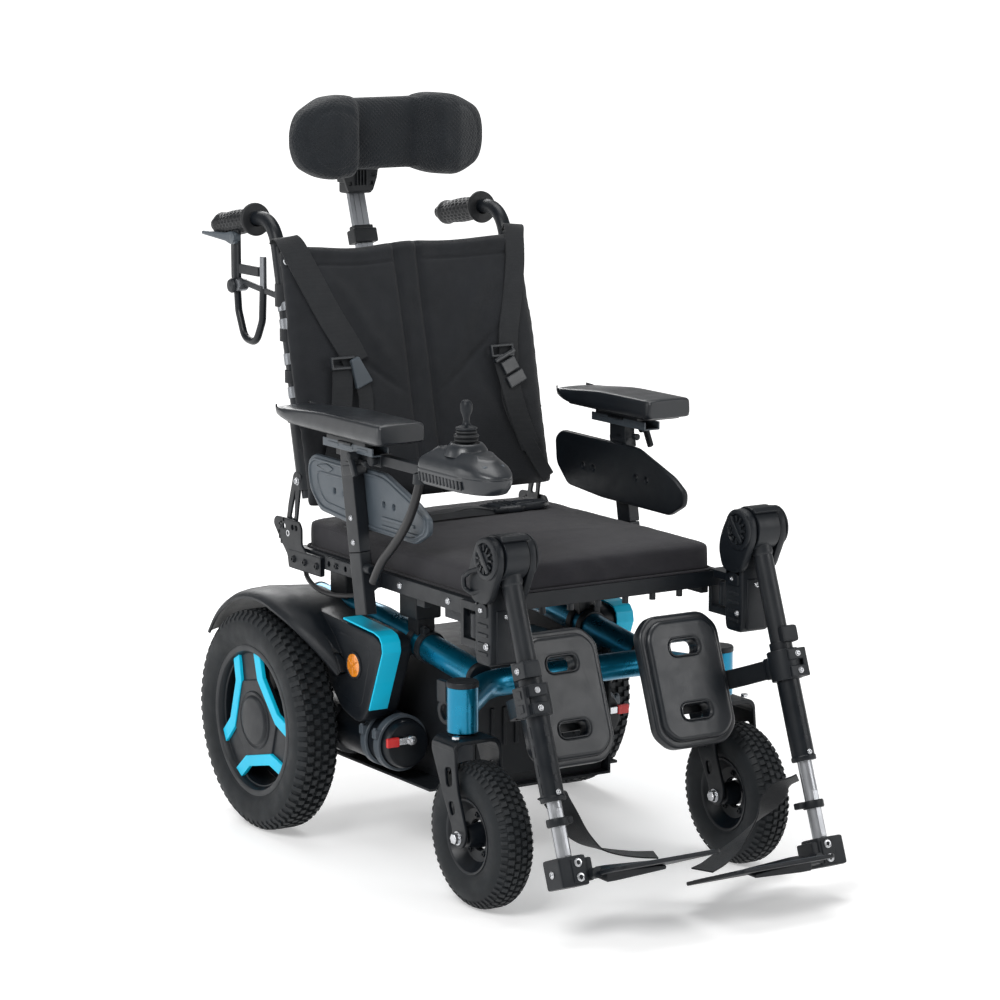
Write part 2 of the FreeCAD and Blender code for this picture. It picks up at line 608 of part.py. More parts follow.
def joystick():
    """Joystick pod on a bar from the right arm post, with boot, stick and keys."""
    x = size("pod_x")
    y = size("stick_y")
    node(block("bar_rail", ("rail_bar_wide", "rail_bar_long", "rail_bar_high"),
               (-240, -452, 636)), "joystick_bar")
    plan = [(-40, -454), (-40, -577), (-30, -613), (-12, -635), (12, -635), (30, -613),
            (40, -577), (40, -454)]
    low = plate("pod_low", "XY_Plane", plan, "pod_high", size("pod_middle"), "pin_radius")
    low.Placement.Base.x = x
    dome = doc.addObject("Part::Cone", "pod_dome")
    bind(dome, {"Radius1": "dome_base", "Radius2": "dome_top", "Height": "dome_high"})
    dome.Placement.Base = spot(x, y, size("dome_low"))
    well = rod("pod_well", "stem_radius", (x, y, 673), (x, y, 701))
    keys = []
    seats = []
    for index, across in enumerate((-14, 0, 14)):
        seats.append(rod("key_seat_%d" % index, "button_radius + play * 4",
                         (x + across, -608, 661), (x + across, -608, 675)))
        keys.append(rod("key_%d" % index, "button_radius", (x + across, -608, 662.4),
                        (x + across, -608, 667.6)))
    node(cut("joystick_pod", fuse("pod_weld", low, dome), well, *seats), "joystick_pod")
    node(group("joystick_keys", *keys), "joystick_keys")
    boot = doc.addObject("Part::Cone", "boot_cone")
    bind(boot, {"Radius1": "boot_base", "Radius2": "boot_top", "Height": "boot_high"})
    boot.Placement.Base = spot(x, y, 702.5)
    shaft = rod("gimbal_shaft", "gimbal_shaft", (x, y, 679), (x, y, 704))
    node(fuse("joystick_boot", boot, shaft), "joystick_boot")
    stick = turned("stick_knob", [(0, 722), (5, 722), (5.4, 729), (9, 735), (9.4, 747), (7, 753),
                                  (0, 755)], (x, y, 0), "Z_Axis")
    node(stick, "joystick_stick")


def drive_wheels():
    """Drive wheels: a tyre, and a rim with three wide windows and a stub shaft."""
    height = size("drive_radius")
    for side, sign in SIDES:
        x = sign * size("drive_track")
        half = size("tyre_width") / 2
        shoulder = size("tyre_shoulder") / 2
        crown = size("tyre_crown") / 2
        outer = size("drive_radius")
        bead = size("bead_radius")
        tread = [(-shoulder, bead), (-half, bead + 14), (-half, outer - 20), (-shoulder, outer - 6),
                 (-crown, outer), (crown, outer), (shoulder, outer - 6), (half, outer - 20),
                 (half, bead + 14), (shoulder, bead)]
        node(turned("tyre_" + side, tread, (x, 0, height)), "drive_tyre_" + side)
        rim_half = size("rim_width") / 2
        inner = size("rim_inner")
        barrel = turned("rim_barrel_" + side, [(-rim_half, inner), (-rim_half, bead),
                        (rim_half, bead), (rim_half, inner)], (x, 0, height))
        hub = turned("rim_hub_" + side, [(-28, 0), (-28, 46), (30, 46), (30, 0)], (x, 0, height))
        disc = []
        windows = []
        for index in range(24):
            turn = math.radians(index * 15)
            disc.append(((inner + 3) * math.cos(turn), height + (inner + 3) * math.sin(turn)))
        for centre in (17.3, 137.3, 257.3):
            corners = []
            for radius, angle in ((60, -24), (94, -34), (99, 0), (94, 34), (60, 24)):
                turn = math.radians(centre + angle)
                corners.append((radius * math.cos(turn), height + radius * math.sin(turn)))
            windows.append(corners)
        face = plate("rim_face_" + side, "YZ_Plane", disc, "face_thick", x + sign * 17, None, (),
                     windows)
        shaft = rod("stub_shaft_" + side, "shaft_radius", (x - sign * 28, 0, height),
                    (x - sign * 88, 0, height))
        node(fuse("drive_rim_" + side, barrel, hub, face, shaft), "drive_rim_" + side)


def casters():
    """Swivelling forks with their stems and axles, and the caster wheels."""
    pivot = size("caster_pivot_y")
    axle = size("caster_axle_y")
    height = size("caster_radius")
    for side, sign in SIDES:
        x = sign * size("caster_track")
        legs = []
        outline = [(pivot - 26, 252), (pivot + 22, 252), (pivot + 22, 236), (pivot - 2, 176),
                   (axle + 17, 118), (axle + 12, 98), (axle - 12, 98), (axle - 17, 118),
                   (pivot - 44, 180), (pivot - 44, 236)]
        for name, offset in (("inner", -39), ("outer", 39)):
            legs.append(plate("fork_%s_%s" % (name, side), "YZ_Plane", outline, "fork_thick",
                              x + offset, "cap_height"))
        crown = block("crown_" + side, ("fork_inside + 10", "crown_length", "crown_thick"),
                      (x - 41.5, pivot - 44, 240))
        stem = rod("stem_" + side, "stem_radius", (x, pivot, 250), (x, pivot, 324))
        collar = rod("collar_" + side, "stem_radius + 5", (x, pivot, 250), (x, pivot, 255.8))
        bolt = rod("axle_" + side, "axle_radius", (x - 48, axle, height), (x + 48, axle, height))
        nuts = [rod("nut_%s_%d" % (side, far), "axle_radius * 1.7", (x + far, axle, height),
                    (x + far * 1.14, axle, height)) for far in (-41.4, 41.4)]
        node(fuse("caster_fork_" + side, crown, stem, collar, bolt, *(legs + nuts)),
             "caster_fork_" + side)
        tyre = [(-25, 56), (-29, 64), (-31, 82), (-26, 99), (-14, 108.6), (-5, height),
                (5, height), (14, 108.6), (26, 99), (31, 82), (29, 64), (25, 56)]
        ring = turned("caster_tyre_" + side, tyre, (x, axle, height))
        web = turned("caster_web_" + side, [(-25, 46), (-25, 57), (25, 57), (25, 46), (5, 44),
                     (5, 18), (30, 18), (30, 5.05), (-30, 5.05), (-30, 18), (-5, 18), (-5, 44)],
                     (x, axle, height))
        node(fuse("caster_wheel_" + side, ring, web), "caster_wheel_" + side)


def leg_point(sign, along, front=0.0, inward=0.0):
    """A point down the legrest from its drum, moved forward of it or towards the middle."""
    turn = math.radians(size("leg_lean"))
    return (sign * (size("leg_x") - inward),
            size("drum_y") - along * math.sin(turn) - front * math.cos(turn),
            size("drum_z") - along * math.cos(turn) + front * math.sin(turn))


def legs():
    """Swing-away hangers, elevating legs, calf pads, telescopic tubes and footplates."""
    turn = lean(size("leg_lean"))
    swing_y = size("swing_y")
    pivot_y = size("drum_y")
    pivot_z = size("drum_z")
    for side, sign in SIDES:
        x = sign * size("leg_x")
        drop = size("left_drop") if sign > 0 else 0
        body = block("hanger_block_" + side, ("block_wide + 7", "block_long", "hanger_high"),
                     (x - 27, pivot_y + 1, 371))
        cheeks = []
        for offset in (-27.6, 27.6):
            outline = [(-629, 467), (-587, 467), (-587, 517), (-601, 557), (-628, 568),
                       (-655, 557), (-659, 527)]
            cheeks.append(plate("hanger_cheek_%s_%d" % (side, offset), "YZ_Plane", outline,
                                "cheek_thick", x + offset, "cap_height / 2"))
        sleeve = rod("swing_sleeve_" + side, "sleeve_radius", (x, swing_y, 402.2),
                     (x, swing_y, 445.4))
        web = block("swing_web_" + side, ("bar_wide", "rail_wide", "web_high"),
                    (x - 10, swing_y - 31, 406))
        bore = rod("swing_bore_" + side, "pin_radius + play", (x, swing_y, 395), (x, swing_y, 450))
        room = rod("drum_room_" + side, "drum_radius + 2", (x - 20.5, pivot_y, pivot_z),
                   (x + 20.5, pivot_y, pivot_z))
        pin = rod("drum_pin_" + side, "pivot_radius", (x - 34, pivot_y, pivot_z),
                  (x + 34, pivot_y, pivot_z))
        hanger = cut("hanger_cut_" + side, fuse("hanger_weld_" + side, body, sleeve, web, *cheeks),
                     bore, room)
        node(fuse("leg_hanger_" + side, hanger, pin), "leg_hanger_" + side)
        drum = rod("drum_" + side, "drum_radius", (x - 20, pivot_y, pivot_z),
                   (x + 20, pivot_y, pivot_z))
        upper = rod("leg_upper_" + side, "leg_radius", leg_point(sign, 10), leg_point(sign, 182))
        lower = rod("leg_lower_" + side, "sleeve_out", leg_point(sign, 180), leg_point(sign, 360))
        hollow = rod("leg_bore_" + side, "inner_radius + play", leg_point(sign, 190),
                     leg_point(sign, 361))
        eye = rod("drum_eye_" + side, "pivot_radius + play", (x - 34, pivot_y, pivot_z),
                  (x + 34, pivot_y, pivot_z))
        node(cut("leg_tube_" + side, fuse("leg_weld_" + side, drum, upper, lower), hollow, eye),
             "leg_tube_" + side)
        calf(side, sign, turn)
        foot(side, sign, turn, drop)


def calf(side, sign, turn):
    """Calf pad with two slots, its bent arm, and the clamp that swings on the leg tube."""
    middle = size("calf_middle")
    inset = size("calf_inset")
    back = -size("calf_set_back")
    clamp = rod("calf_clamp_" + side, "clamp_radius", leg_point(sign, 190), leg_point(sign, 236))
    bore = rod("calf_bore_" + side, "sleeve_out + play", leg_point(sign, 180),
               leg_point(sign, 250))
    arm = slab("calf_arm_" + side, ("calf_arm_thick", "calf_arm_long", "bracket_wide"),
               leg_point(sign, 213, back + 39.5, 18), turn)
    cross = slab("calf_cross_" + side, ("calf_cross_long", "calf_arm_thick", "bracket_wide"),
                 leg_point(sign, 213, back - 19, 44), turn)
    pad = slab("calf_slab_" + side, ("calf_wide", "calf_thick", "calf_high"),
               leg_point(sign, middle, back, inset), turn)
    soft = doc.addObject("Part::Fillet", "calf_soft_" + side)
    doc.recompute()
    soft.Base = pad
    upright = [index for index, edge in enumerate(pad.Shape.Edges, start=1)
               if abs(edge.tangentAt(0).dot(turn.multVec(Y_AXIS))) > 0.99]
    corner = size("calf_corner")
    soft.Edges = [(index, corner, corner) for index in upright]
    slots = [slab("calf_slot_%s_%d" % (side, rise), ("calf_slot_wide", "calf_slot_deep",
                  "calf_slot_high"), leg_point(sign, middle - rise, back, inset), turn)
             for rise in (-size("calf_slot_rise"), size("calf_slot_rise"))]
    cushion = cut("calf_cushion_" + side, soft, *slots)
    node(cut("calf_pad_" + side, fuse("calf_weld_" + side, clamp, arm, cross, cushion), bore),
         "calf_pad_" + side)


def foot(side, sign, turn, drop):
    """Telescopic tube with its end block, the flip-up footplate and the heel strap."""
    bar = rod("inner_tube_" + side, "inner_radius", leg_point(sign, 250 + drop),
              leg_point(sign, 449 + drop))
    block_mid = leg_point(sign, 463 + drop, 0, -2)
    end = slab("foot_block_" + side, ("block_wide", "block_long", "block_high"), block_mid, turn)
    clip = rod("strap_clip_" + side, "axle_radius", leg_point(sign, 388 + drop, -9, 6),
               leg_point(sign, 388 + drop, -9, 24))
    node(fuse("leg_slider_" + side, bar, end, clip), "leg_slider_" + side)
    knuckle = rod("knuckle_" + side, "knuckle_radius", leg_point(sign, 471 + drop, -22, 30.4),
                  leg_point(sign, 471 + drop, 22, 30.4))
    tread = slab("foot_tread_" + side, ("foot_wide", "foot_long", "foot_thick"),
                 leg_point(sign, 472 + drop, 14, 125.5), turn)
    hinged = node(fuse("footplate_" + side, knuckle, tread), "footplate_" + side)
    hinged.Refine = False
    drape = [(197, 179 - drop), (150, 127 - drop), (98, 103 - drop), (44, 95 - drop),
             (44, 92 - drop), (96, 99.5 - drop), (148, 123.5 - drop), (194, 176 - drop)]
    band = plate("heel_strap_" + side, "XZ_Plane", [(sign * across, up) for across, up in drape],
                 "heel_strap_wide", -735)
    node(band, "heel_strap_" + side)


def cords():
    """Joystick lead down to the seat rail, the loom loop over the cover, and the lap belt."""
    lead = [(-250, -438, 622), (-252, -426, 585), (-252, -398, 546), (-252, -362, 512),
            (-252, -324, 482), (-250, -300, 448)]
    node(bent_tube("joystick_lead", [(x - 6, y, z) for x, y, z in lead],
                   size("stick_cord_radius")), "joystick_lead")
    loom = [(-214, -16, 428), (-222, -26, 417), (-236, -62, 409), (-245, -112, 402),
            (-243, -158, 401), (-226, -196, 406), (-204, -214, 416), (-196, -222, 431)]
    node(bent_tube("wire_loom", loom, size("loom_radius")), "wire_loom")
    belt = block("belt_web", ("belt_long", "belt_wide", "strap_thick"),
                 (-214, -180, 504.2))
    buckle = block("belt_buckle", ("buckle_long", "buckle_wide", "buckle_high"),
                   (46, -186, 504.2))
    node(fuse("lap_belt", belt, buckle), "lap_belt")
    rings = []
    for side, sign in SIDES:
        outer = rod("eye_ring_" + side, "eye_radius", (sign * 196, -420, 262),
                    (sign * 204, -420, 262))
        tail = block("eye_tail_" + side, ("eye_thick", "eye_tail_wide",
                     "eye_tail_high"), (sign * 200 - 4, -424, 262))
        hole = rod("eye_hole_" + side, "eye_bore", (sign * 190, -420, 262),
                   (sign * 210, -420, 262))
        rings.append(cut("tie_eye_" + side, fuse("eye_weld_" + side, outer, tail), hole))
    node(group("tie_down_eyes", *rings), "tie_down_eyes")


def finish():
    """Check every object, then write one file for each sub-part."""
    doc.recompute()
    faults = [item.Name for item in doc.Objects
              if "Invalid" in item.State or "Error" in item.State]
    for item in NODES:
        shape = item.Shape
        if shape.isNull() or not shape.isValid() or not shape.Solids:
            faults.append(item.Label)
    if faults:
        raise RuntimeError("faults in " + ", ".join(faults))
    os.makedirs("parts", exist_ok=True)
    whole = FreeCAD.BoundBox()
    for item in NODES:
        item.Shape.exportStep(os.path.join("parts", item.Label + ".step"))
        whole.add(item.Shape.BoundBox)
    print(len(NODES), "sub-parts", whole)


frame_tubes()
chassis()
drive_units()
covers()
seat()
recline_hinges()
backrest()
headrest()
arms()
joystick()
drive_wheels()
casters()
legs()
cords()
finish()
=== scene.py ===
import json
import math

import bmesh
import bpy
from mathutils import Matrix, Vector


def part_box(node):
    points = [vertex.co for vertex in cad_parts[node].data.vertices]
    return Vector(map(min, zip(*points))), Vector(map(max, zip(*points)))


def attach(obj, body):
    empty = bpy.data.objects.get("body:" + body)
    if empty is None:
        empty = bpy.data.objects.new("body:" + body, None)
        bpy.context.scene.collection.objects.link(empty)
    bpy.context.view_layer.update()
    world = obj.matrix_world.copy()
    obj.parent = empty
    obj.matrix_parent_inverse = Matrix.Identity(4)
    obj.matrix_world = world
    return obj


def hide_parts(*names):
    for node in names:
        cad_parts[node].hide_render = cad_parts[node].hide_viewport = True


# Looks of the power wheelchair. Places are millimetres from the drive axle's line, as in the
# CAD: +Z up, the user faces -Y, X = 0 is the mid-plane. at() turns them into the row's metres.

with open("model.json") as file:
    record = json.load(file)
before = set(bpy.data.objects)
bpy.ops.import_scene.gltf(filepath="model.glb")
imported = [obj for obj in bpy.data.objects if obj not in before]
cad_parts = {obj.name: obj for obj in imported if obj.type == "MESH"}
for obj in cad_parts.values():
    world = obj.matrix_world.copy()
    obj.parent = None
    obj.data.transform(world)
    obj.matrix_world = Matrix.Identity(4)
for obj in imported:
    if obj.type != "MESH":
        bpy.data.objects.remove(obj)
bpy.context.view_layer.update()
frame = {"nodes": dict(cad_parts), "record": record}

SIDES = (("right", -1), ("left", 1))
X = Vector((1, 0, 0))
Y = Vector((0, 1, 0))
Z = Vector((0, 0, 1))
MM = 0.001


def middle_of(node):
    """The middle of a CAD node, in metres."""
    low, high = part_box(node)
    return (low + high) / 2


AXLE = middle_of("drive_tyre_right")
AXLE_Y = AXLE.y
WHEEL_Z = AXLE.z / MM
TRACK = abs(AXLE.x) / MM
CASTER = middle_of("caster_wheel_right")
CASTER_Y = (CASTER.y - AXLE_Y) / MM
CASTER_Z = CASTER.z / MM
CASTER_X = abs(CASTER.x) / MM
DRUM = Vector((225, -628, 536))
SWING_Y = -562
LEG_LEAN = math.radians(20.5)
LEFT_DROP = 36
ARM_LEAN = math.radians(10.5)
BACK_SLOPE = 0.238
BACK_LEAN = math.atan(BACK_SLOPE)
STEM_LEAN = math.radians(18.3)
BACK_UP = Vector((0, math.sin(BACK_LEAN), math.cos(BACK_LEAN)))
BACK_FORWARD = Vector((0, -math.cos(BACK_LEAN), math.sin(BACK_LEAN)))
CANE_X = 214.5
HOOK_X = -226.5
MOTOR_X = 181
MOTOR_Z = 178
SIDE_TUBE_X = 150
PLATE_X = 233.6
BELT_Y = -157
POD_X = -235
POD_Y = -535


def at(place):
    """A place in millimetres from the axle's line, in the row's metres."""
    return Vector(place) * MM + Vector((0, AXLE_Y, 0))


def turn_x(radians):
    """A turn about the X axis that takes the top of a standing piece back."""
    return Matrix.Rotation(-radians, 3, "X")


# ---------------------------------------------------------------- materials

def link(tree, source, target):
    tree.links.new(source, target)


def node_of(tree, kind, **values):
    """A shader node with its settings and unlinked inputs."""
    made = tree.nodes.new("ShaderNode" + kind)
    for name, value in values.items():
        if name in made.inputs:
            made.inputs[name].default_value = value
        else:
            setattr(made, name, value)
    return made


def noise(tree, coords, scale, detail=3.0):
    made = node_of(tree, "TexNoise", Scale=scale, Detail=detail)
    link(tree, coords, made.inputs["Vector"])
    return made.outputs["Fac"]


def spread(tree, value, low, high, from_low=0.3, from_high=0.7):
    made = node_of(tree, "MapRange")
    made.inputs["From Min"].default_value = from_low
    made.inputs["From Max"].default_value = from_high
    made.inputs["To Min"].default_value = low
    made.inputs["To Max"].default_value = high
    link(tree, value, made.inputs["Value"])
    return made.outputs["Result"]


def combine(tree, operation, first, second):
    made = node_of(tree, "Math", operation=operation)
    for index, value in enumerate((first, second)):
        if isinstance(value, (int, float)):
            made.inputs[index].default_value = value
        else:
            link(tree, value, made.inputs[index])
    return made.outputs["Value"]


def shades(tree, amount, dark, light):
    """A colour between two, by a factor."""
    made = node_of(tree, "Mix", data_type="RGBA")
    colours = [socket for socket in made.inputs if socket.type == "RGBA"]
    colours[0].default_value = (*dark, 1)
    colours[1].default_value = (*light, 1)
    link(tree, amount, made.inputs["Factor"])
    return [socket for socket in made.outputs if socket.type == "RGBA"][0]


def bands(tree, coords, pitch, direction):
    """Even waves along one axis, a pitch apart."""
    made = node_of(tree, "TexWave", wave_type="BANDS", bands_direction=direction)
    made.inputs["Scale"].default_value = 2 * math.pi / 20 / pitch
    link(tree, coords, made.inputs["Vector"])
    return made.outputs["Fac"]


def threads(tree, coords, pitch):
    """Height of a plain weave whichever way the cloth faces."""
    across = bands(tree, coords, pitch, "X")
    along = bands(tree, coords, pitch, "Y")
    upward = bands(tree, coords, pitch, "Z")
    return combine(tree, "MAXIMUM", combine(tree, "MULTIPLY", across, upward),
                   combine(tree, "MULTIPLY", along, across))


def diamonds(tree, coords, pitch):
    """Height of a spacer mesh: open cells on a slanting grid."""
    made = node_of(tree, "TexVoronoi", feature="DISTANCE_TO_EDGE")
    made.inputs["Scale"].default_value = 1 / pitch
    made.inputs["Randomness"].default_value = 0.2
    slant = node_of(tree, "Mapping")
    slant.inputs["Rotation"].default_value = (0.35, math.radians(45), 0.2)
    link(tree, coords, slant.inputs["Vector"])
    link(tree, slant.outputs["Vector"], made.inputs["Vector"])
    return spread(tree, made.outputs["Distance"], 1.0, 0.0, 0.05, 0.3)


def look(name, colour, rough, metal=0.0, coat=0.0, sheen=0.0, specular=0.5, mottle=0.15,
         patches=14.0, grain=1400.0, depth=0.00012, pattern=None, pitch=0.0015, edge=0.25,
         soften=0.0012):
    """A finish: cloudy colour, uneven gloss, fine relief, rounded edges, and colour made paler
    where edges are sharp and convex.
    """
    made = bpy.data.materials.new(name)
    made.use_nodes = True
    tree = made.node_tree
    shader = tree.nodes["Principled BSDF"]
    coords = node_of(tree, "TexCoord").outputs["Object"]
    cloud = noise(tree, coords, patches)
    dark = [value * (1 - mottle) for value in colour]
    light = [value * (1 + mottle) for value in colour]
    tint = shades(tree, spread(tree, cloud, 0.0, 1.0), dark, light)
    height = noise(tree, coords, grain, 2.0)
    if pattern:
        height = combine(tree, "ADD", combine(tree, "MULTIPLY", height, 0.25),
                         pattern(tree, coords, pitch))
    # Colour is made paler where the surface bends sharply outwards.
    if edge:
        curve = node_of(tree, "NewGeometry").outputs["Pointiness"]
        sharp_edge_share = spread(tree, curve, 0.0, edge, 0.53, 0.62)
        paler = node_of(tree, "Mix", data_type="RGBA", blend_type="ADD")
        link(tree, sharp_edge_share, paler.inputs["Factor"])
        colours = [socket for socket in paler.inputs if socket.type == "RGBA"]
        link(tree, tint, colours[0])
        colours[1].default_value = (0.1, 0.1, 0.1, 1)
        tint = [socket for socket in paler.outputs if socket.type == "RGBA"][0]
    relief = node_of(tree, "Bump", Strength=0.6, Distance=depth)
    link(tree, height, relief.inputs["Height"])
    if soften:
        softer = node_of(tree, "Bevel", samples=4)
        softer.inputs["Radius"].default_value = soften
        link(tree, softer.outputs["Normal"], relief.inputs["Normal"])
    link(tree, relief.outputs["Normal"], shader.inputs["Normal"])
    link(tree, tint, shader.inputs["Base Color"])
    gloss = spread(tree, noise(tree, coords, 45.0), rough - 0.06, rough + 0.06)
    link(tree, gloss, shader.inputs["Roughness"])
    shader.inputs["Metallic"].default_value = metal
    shader.inputs["Coat Weight"].default_value = coat
    shader.inputs["Coat Roughness"].default_value = 0.12
    shader.inputs["Sheen Weight"].default_value = sheen
    shader.inputs["Sheen Roughness"].default_value = 0.6
    shader.inputs["Specular IOR Level"].default_value = specular
    return made


LOOKS = {
    "blue_metal": look("blue_metal", (0.0, 0.185, 0.32), 0.31, metal=0.8, coat=0.3, mottle=0.03,
                       grain=3500, depth=0.000008, edge=0.0, soften=0.0),
    "black_metal": look("black_metal", (0.0034, 0.0053, 0.0080), 0.38, specular=0.3, grain=1800,
                        depth=0.0001, edge=0.12),
    "steel": look("steel", (0.56, 0.57, 0.59), 0.27, metal=1.0, mottle=0.06, grain=900,
                  depth=0.00005, edge=0.1),
    "grey_alloy": look("grey_alloy", (0.40, 0.41, 0.43), 0.34, metal=0.95, mottle=0.05,
                       grain=1200, depth=0.00005, edge=0.1),
    "black_plastic": look("black_plastic", (0.0038, 0.0058, 0.0086), 0.44, specular=0.3,
                          grain=1500, depth=0.00018, edge=0.1),
    "gloss_black": look("gloss_black", (0.0085, 0.0112, 0.0150), 0.36, specular=0.5, coat=0.12,
                        grain=2200, depth=0.00003, edge=0.12),
    "blue_plastic": look("blue_plastic", (0.003, 0.50, 0.74), 0.36, specular=0.25, mottle=0.05,
                         grain=2500, depth=0.00003, edge=0.1),
    "grey_plastic": look("grey_plastic", (0.048, 0.062, 0.076), 0.42, mottle=0.1, grain=1500,
                         depth=0.00015, edge=0.2),
    "wheel_grey": look("wheel_grey", (0.0042, 0.0062, 0.0090), 0.42, specular=0.32, mottle=0.08,
                       grain=1800, depth=0.0001, edge=0.15),
    "amber_lens": look("amber_lens", (0.70, 0.22, 0.01), 0.2, coat=0.8, mottle=0.15, patches=220,
                       grain=600, depth=0.0002, edge=0.2),
    "tyre": look("tyre", (0.0054, 0.0076, 0.0098), 0.6, specular=0.3, mottle=0.2, patches=30,
                 grain=1200, depth=0.00025, edge=0.08, soften=0.0),
    "grip_rubber": look("grip_rubber", (0.0075, 0.0085, 0.0100), 0.5, specular=0.35, grain=1500,
                        depth=0.00015, edge=0.1),
    "seat_fabric": look("seat_fabric", (0.0104, 0.0098, 0.0134), 0.85, sheen=0.12, specular=0.2,
                        pattern=threads, pitch=0.0011, depth=0.0003, edge=0.0, soften=0.0),
    "back_fabric": look("back_fabric", (0.0048, 0.0062, 0.0088), 0.7, sheen=0.07, specular=0.25,
                        pattern=threads, pitch=0.0009, depth=0.00025, edge=0.0, soften=0.0),
    "mesh_fabric": look("mesh_fabric", (0.0052, 0.0074, 0.0102), 0.8, sheen=0.1, specular=0.22,
                        pattern=diamonds, pitch=0.0052, depth=0.0016, edge=0.0, soften=0.0),
    "webbing": look("webbing", (0.0036, 0.0050, 0.0072), 0.65, sheen=0.1, specular=0.3,
                    pattern=threads, pitch=0.0018, depth=0.0004, edge=0.0, soften=0.0),
    "soft_pu": look("soft_pu", (0.0050, 0.0072, 0.0104), 0.36, specular=0.5, coat=0.1,
                    grain=1100, depth=0.00022, edge=0.08),
    "cable_skin": look("cable_skin", (0.0090, 0.0090, 0.0100), 0.36, specular=0.4, grain=1500,
                       depth=0.00006, edge=0.0, soften=0.0),
    "stem_grey": look("stem_grey", (0.20, 0.21, 0.225), 0.36, metal=0.85, mottle=0.05,
                      grain=1200, depth=0.00005, edge=0.1),
    "red_plastic": look("red_plastic", (0.55, 0.015, 0.015), 0.3, mottle=0.1, edge=0.1),
    "dial_print": look("dial_print", (0.75, 0.33, 0.10), 0.4, mottle=0.1, edge=0.0),
    "dial_screen": look("dial_screen", (0.02, 0.05, 0.12), 0.15, coat=0.6, mottle=0.2, edge=0.0),
}


# ---------------------------------------------------------------- geometry

def rounded(outline, radius, steps=4):
    """The outline with its corners turned into arcs."""
    points = []
    count = len(outline)
    for index in range(count):
        before = Vector(outline[index - 1][:2])
        corner = Vector(outline[index][:2])
        after = Vector(outline[(index + 1) % count][:2])
        into = (before - corner)
        out = (after - corner)
        reach = min(radius, 0.48 * into.length, 0.48 * out.length)
        first = corner + into.normalized() * reach
        last = corner + out.normalized() * reach
        for step in range(steps + 1):
            t = step / steps
            points.append(first * (1 - t) ** 2 + corner * 2 * t * (1 - t) + last * t ** 2)
    return points


def along_curve(points, steps=6):
    """A smooth run of places through the given ones."""
    places = [Vector(point) for point in points]
    places = [places[0] * 2 - places[1], *places, places[-1] * 2 - places[-2]]
    made = []
    for a, b, c, d in zip(places, places[1:], places[2:], places[3:]):
        for step in range(steps):
            t = step / steps
            made.append(0.5 * (2 * b + (c - a) * t + (2 * a - 5 * b + 4 * c - d) * t * t
                               + (3 * b - a - 3 * c + d) * t ** 3))
    made.append(places[-2])
    return made


def bent(points, radius, steps=6):
    """Straight runs joined by arcs of about one radius."""
    places = [Vector(point) for point in points]
    made = [places[0]]
    for before, corner, after in zip(places, places[1:], places[2:]):
        into = before - corner
        out = after - corner
        half = into.angle(out) / 2
        reach = min(radius / math.tan(half), 0.49 * into.length, 0.49 * out.length)
        first = corner + into.normalized() * reach
        last = corner + out.normalized() * reach
        for step in range(steps + 1):
            t = step / steps
            made.append(first * (1 - t) ** 2 + corner * 2 * t * (1 - t) + last * t ** 2)
    made.append(places[-1])
    return made


def basis(middle, across, up):
    """A frame at a place, from two of its axes."""
    u = Vector(across).normalized()
    w = u.cross(Vector(up)).normalized()
    v = w.cross(u)
    rotation = Matrix((u, v, w)).transposed().to_4x4()
    return Matrix.Translation(Vector(middle)) @ rotation


def facing_x(x):
    """The plane across the X axis: outlines in it are given in Y and Z."""
    return Matrix(((0, 0, 1, x), (1, 0, 0, 0), (0, 1, 0, 0), (0, 0, 0, 1)))


def oblong(half_u, half_v, u=0, v=0):
    """The corners of an oblong about a place."""
    return [(u - half_u, v - half_v), (u + half_u, v - half_v),
            (u + half_u, v + half_v), (u - half_u, v + half_v)]


def square(u, v, half):
    """The corners of a square about a place."""
    return oblong(half, half, u, v)


def round_x(turn):
    """The way from the X axis outwards at an angle from +Y."""
    return Vector((0, math.cos(turn), math.sin(turn)))


def bake(piece):
    """Turn a piece's modifiers into its mesh."""
    graph = bpy.context.evaluated_depsgraph_get()
    made = bpy.data.meshes.new_from_object(piece.evaluated_get(graph))
    piece.modifiers.clear()
    old = piece.data
    piece.data = made
    bpy.data.meshes.remove(old)


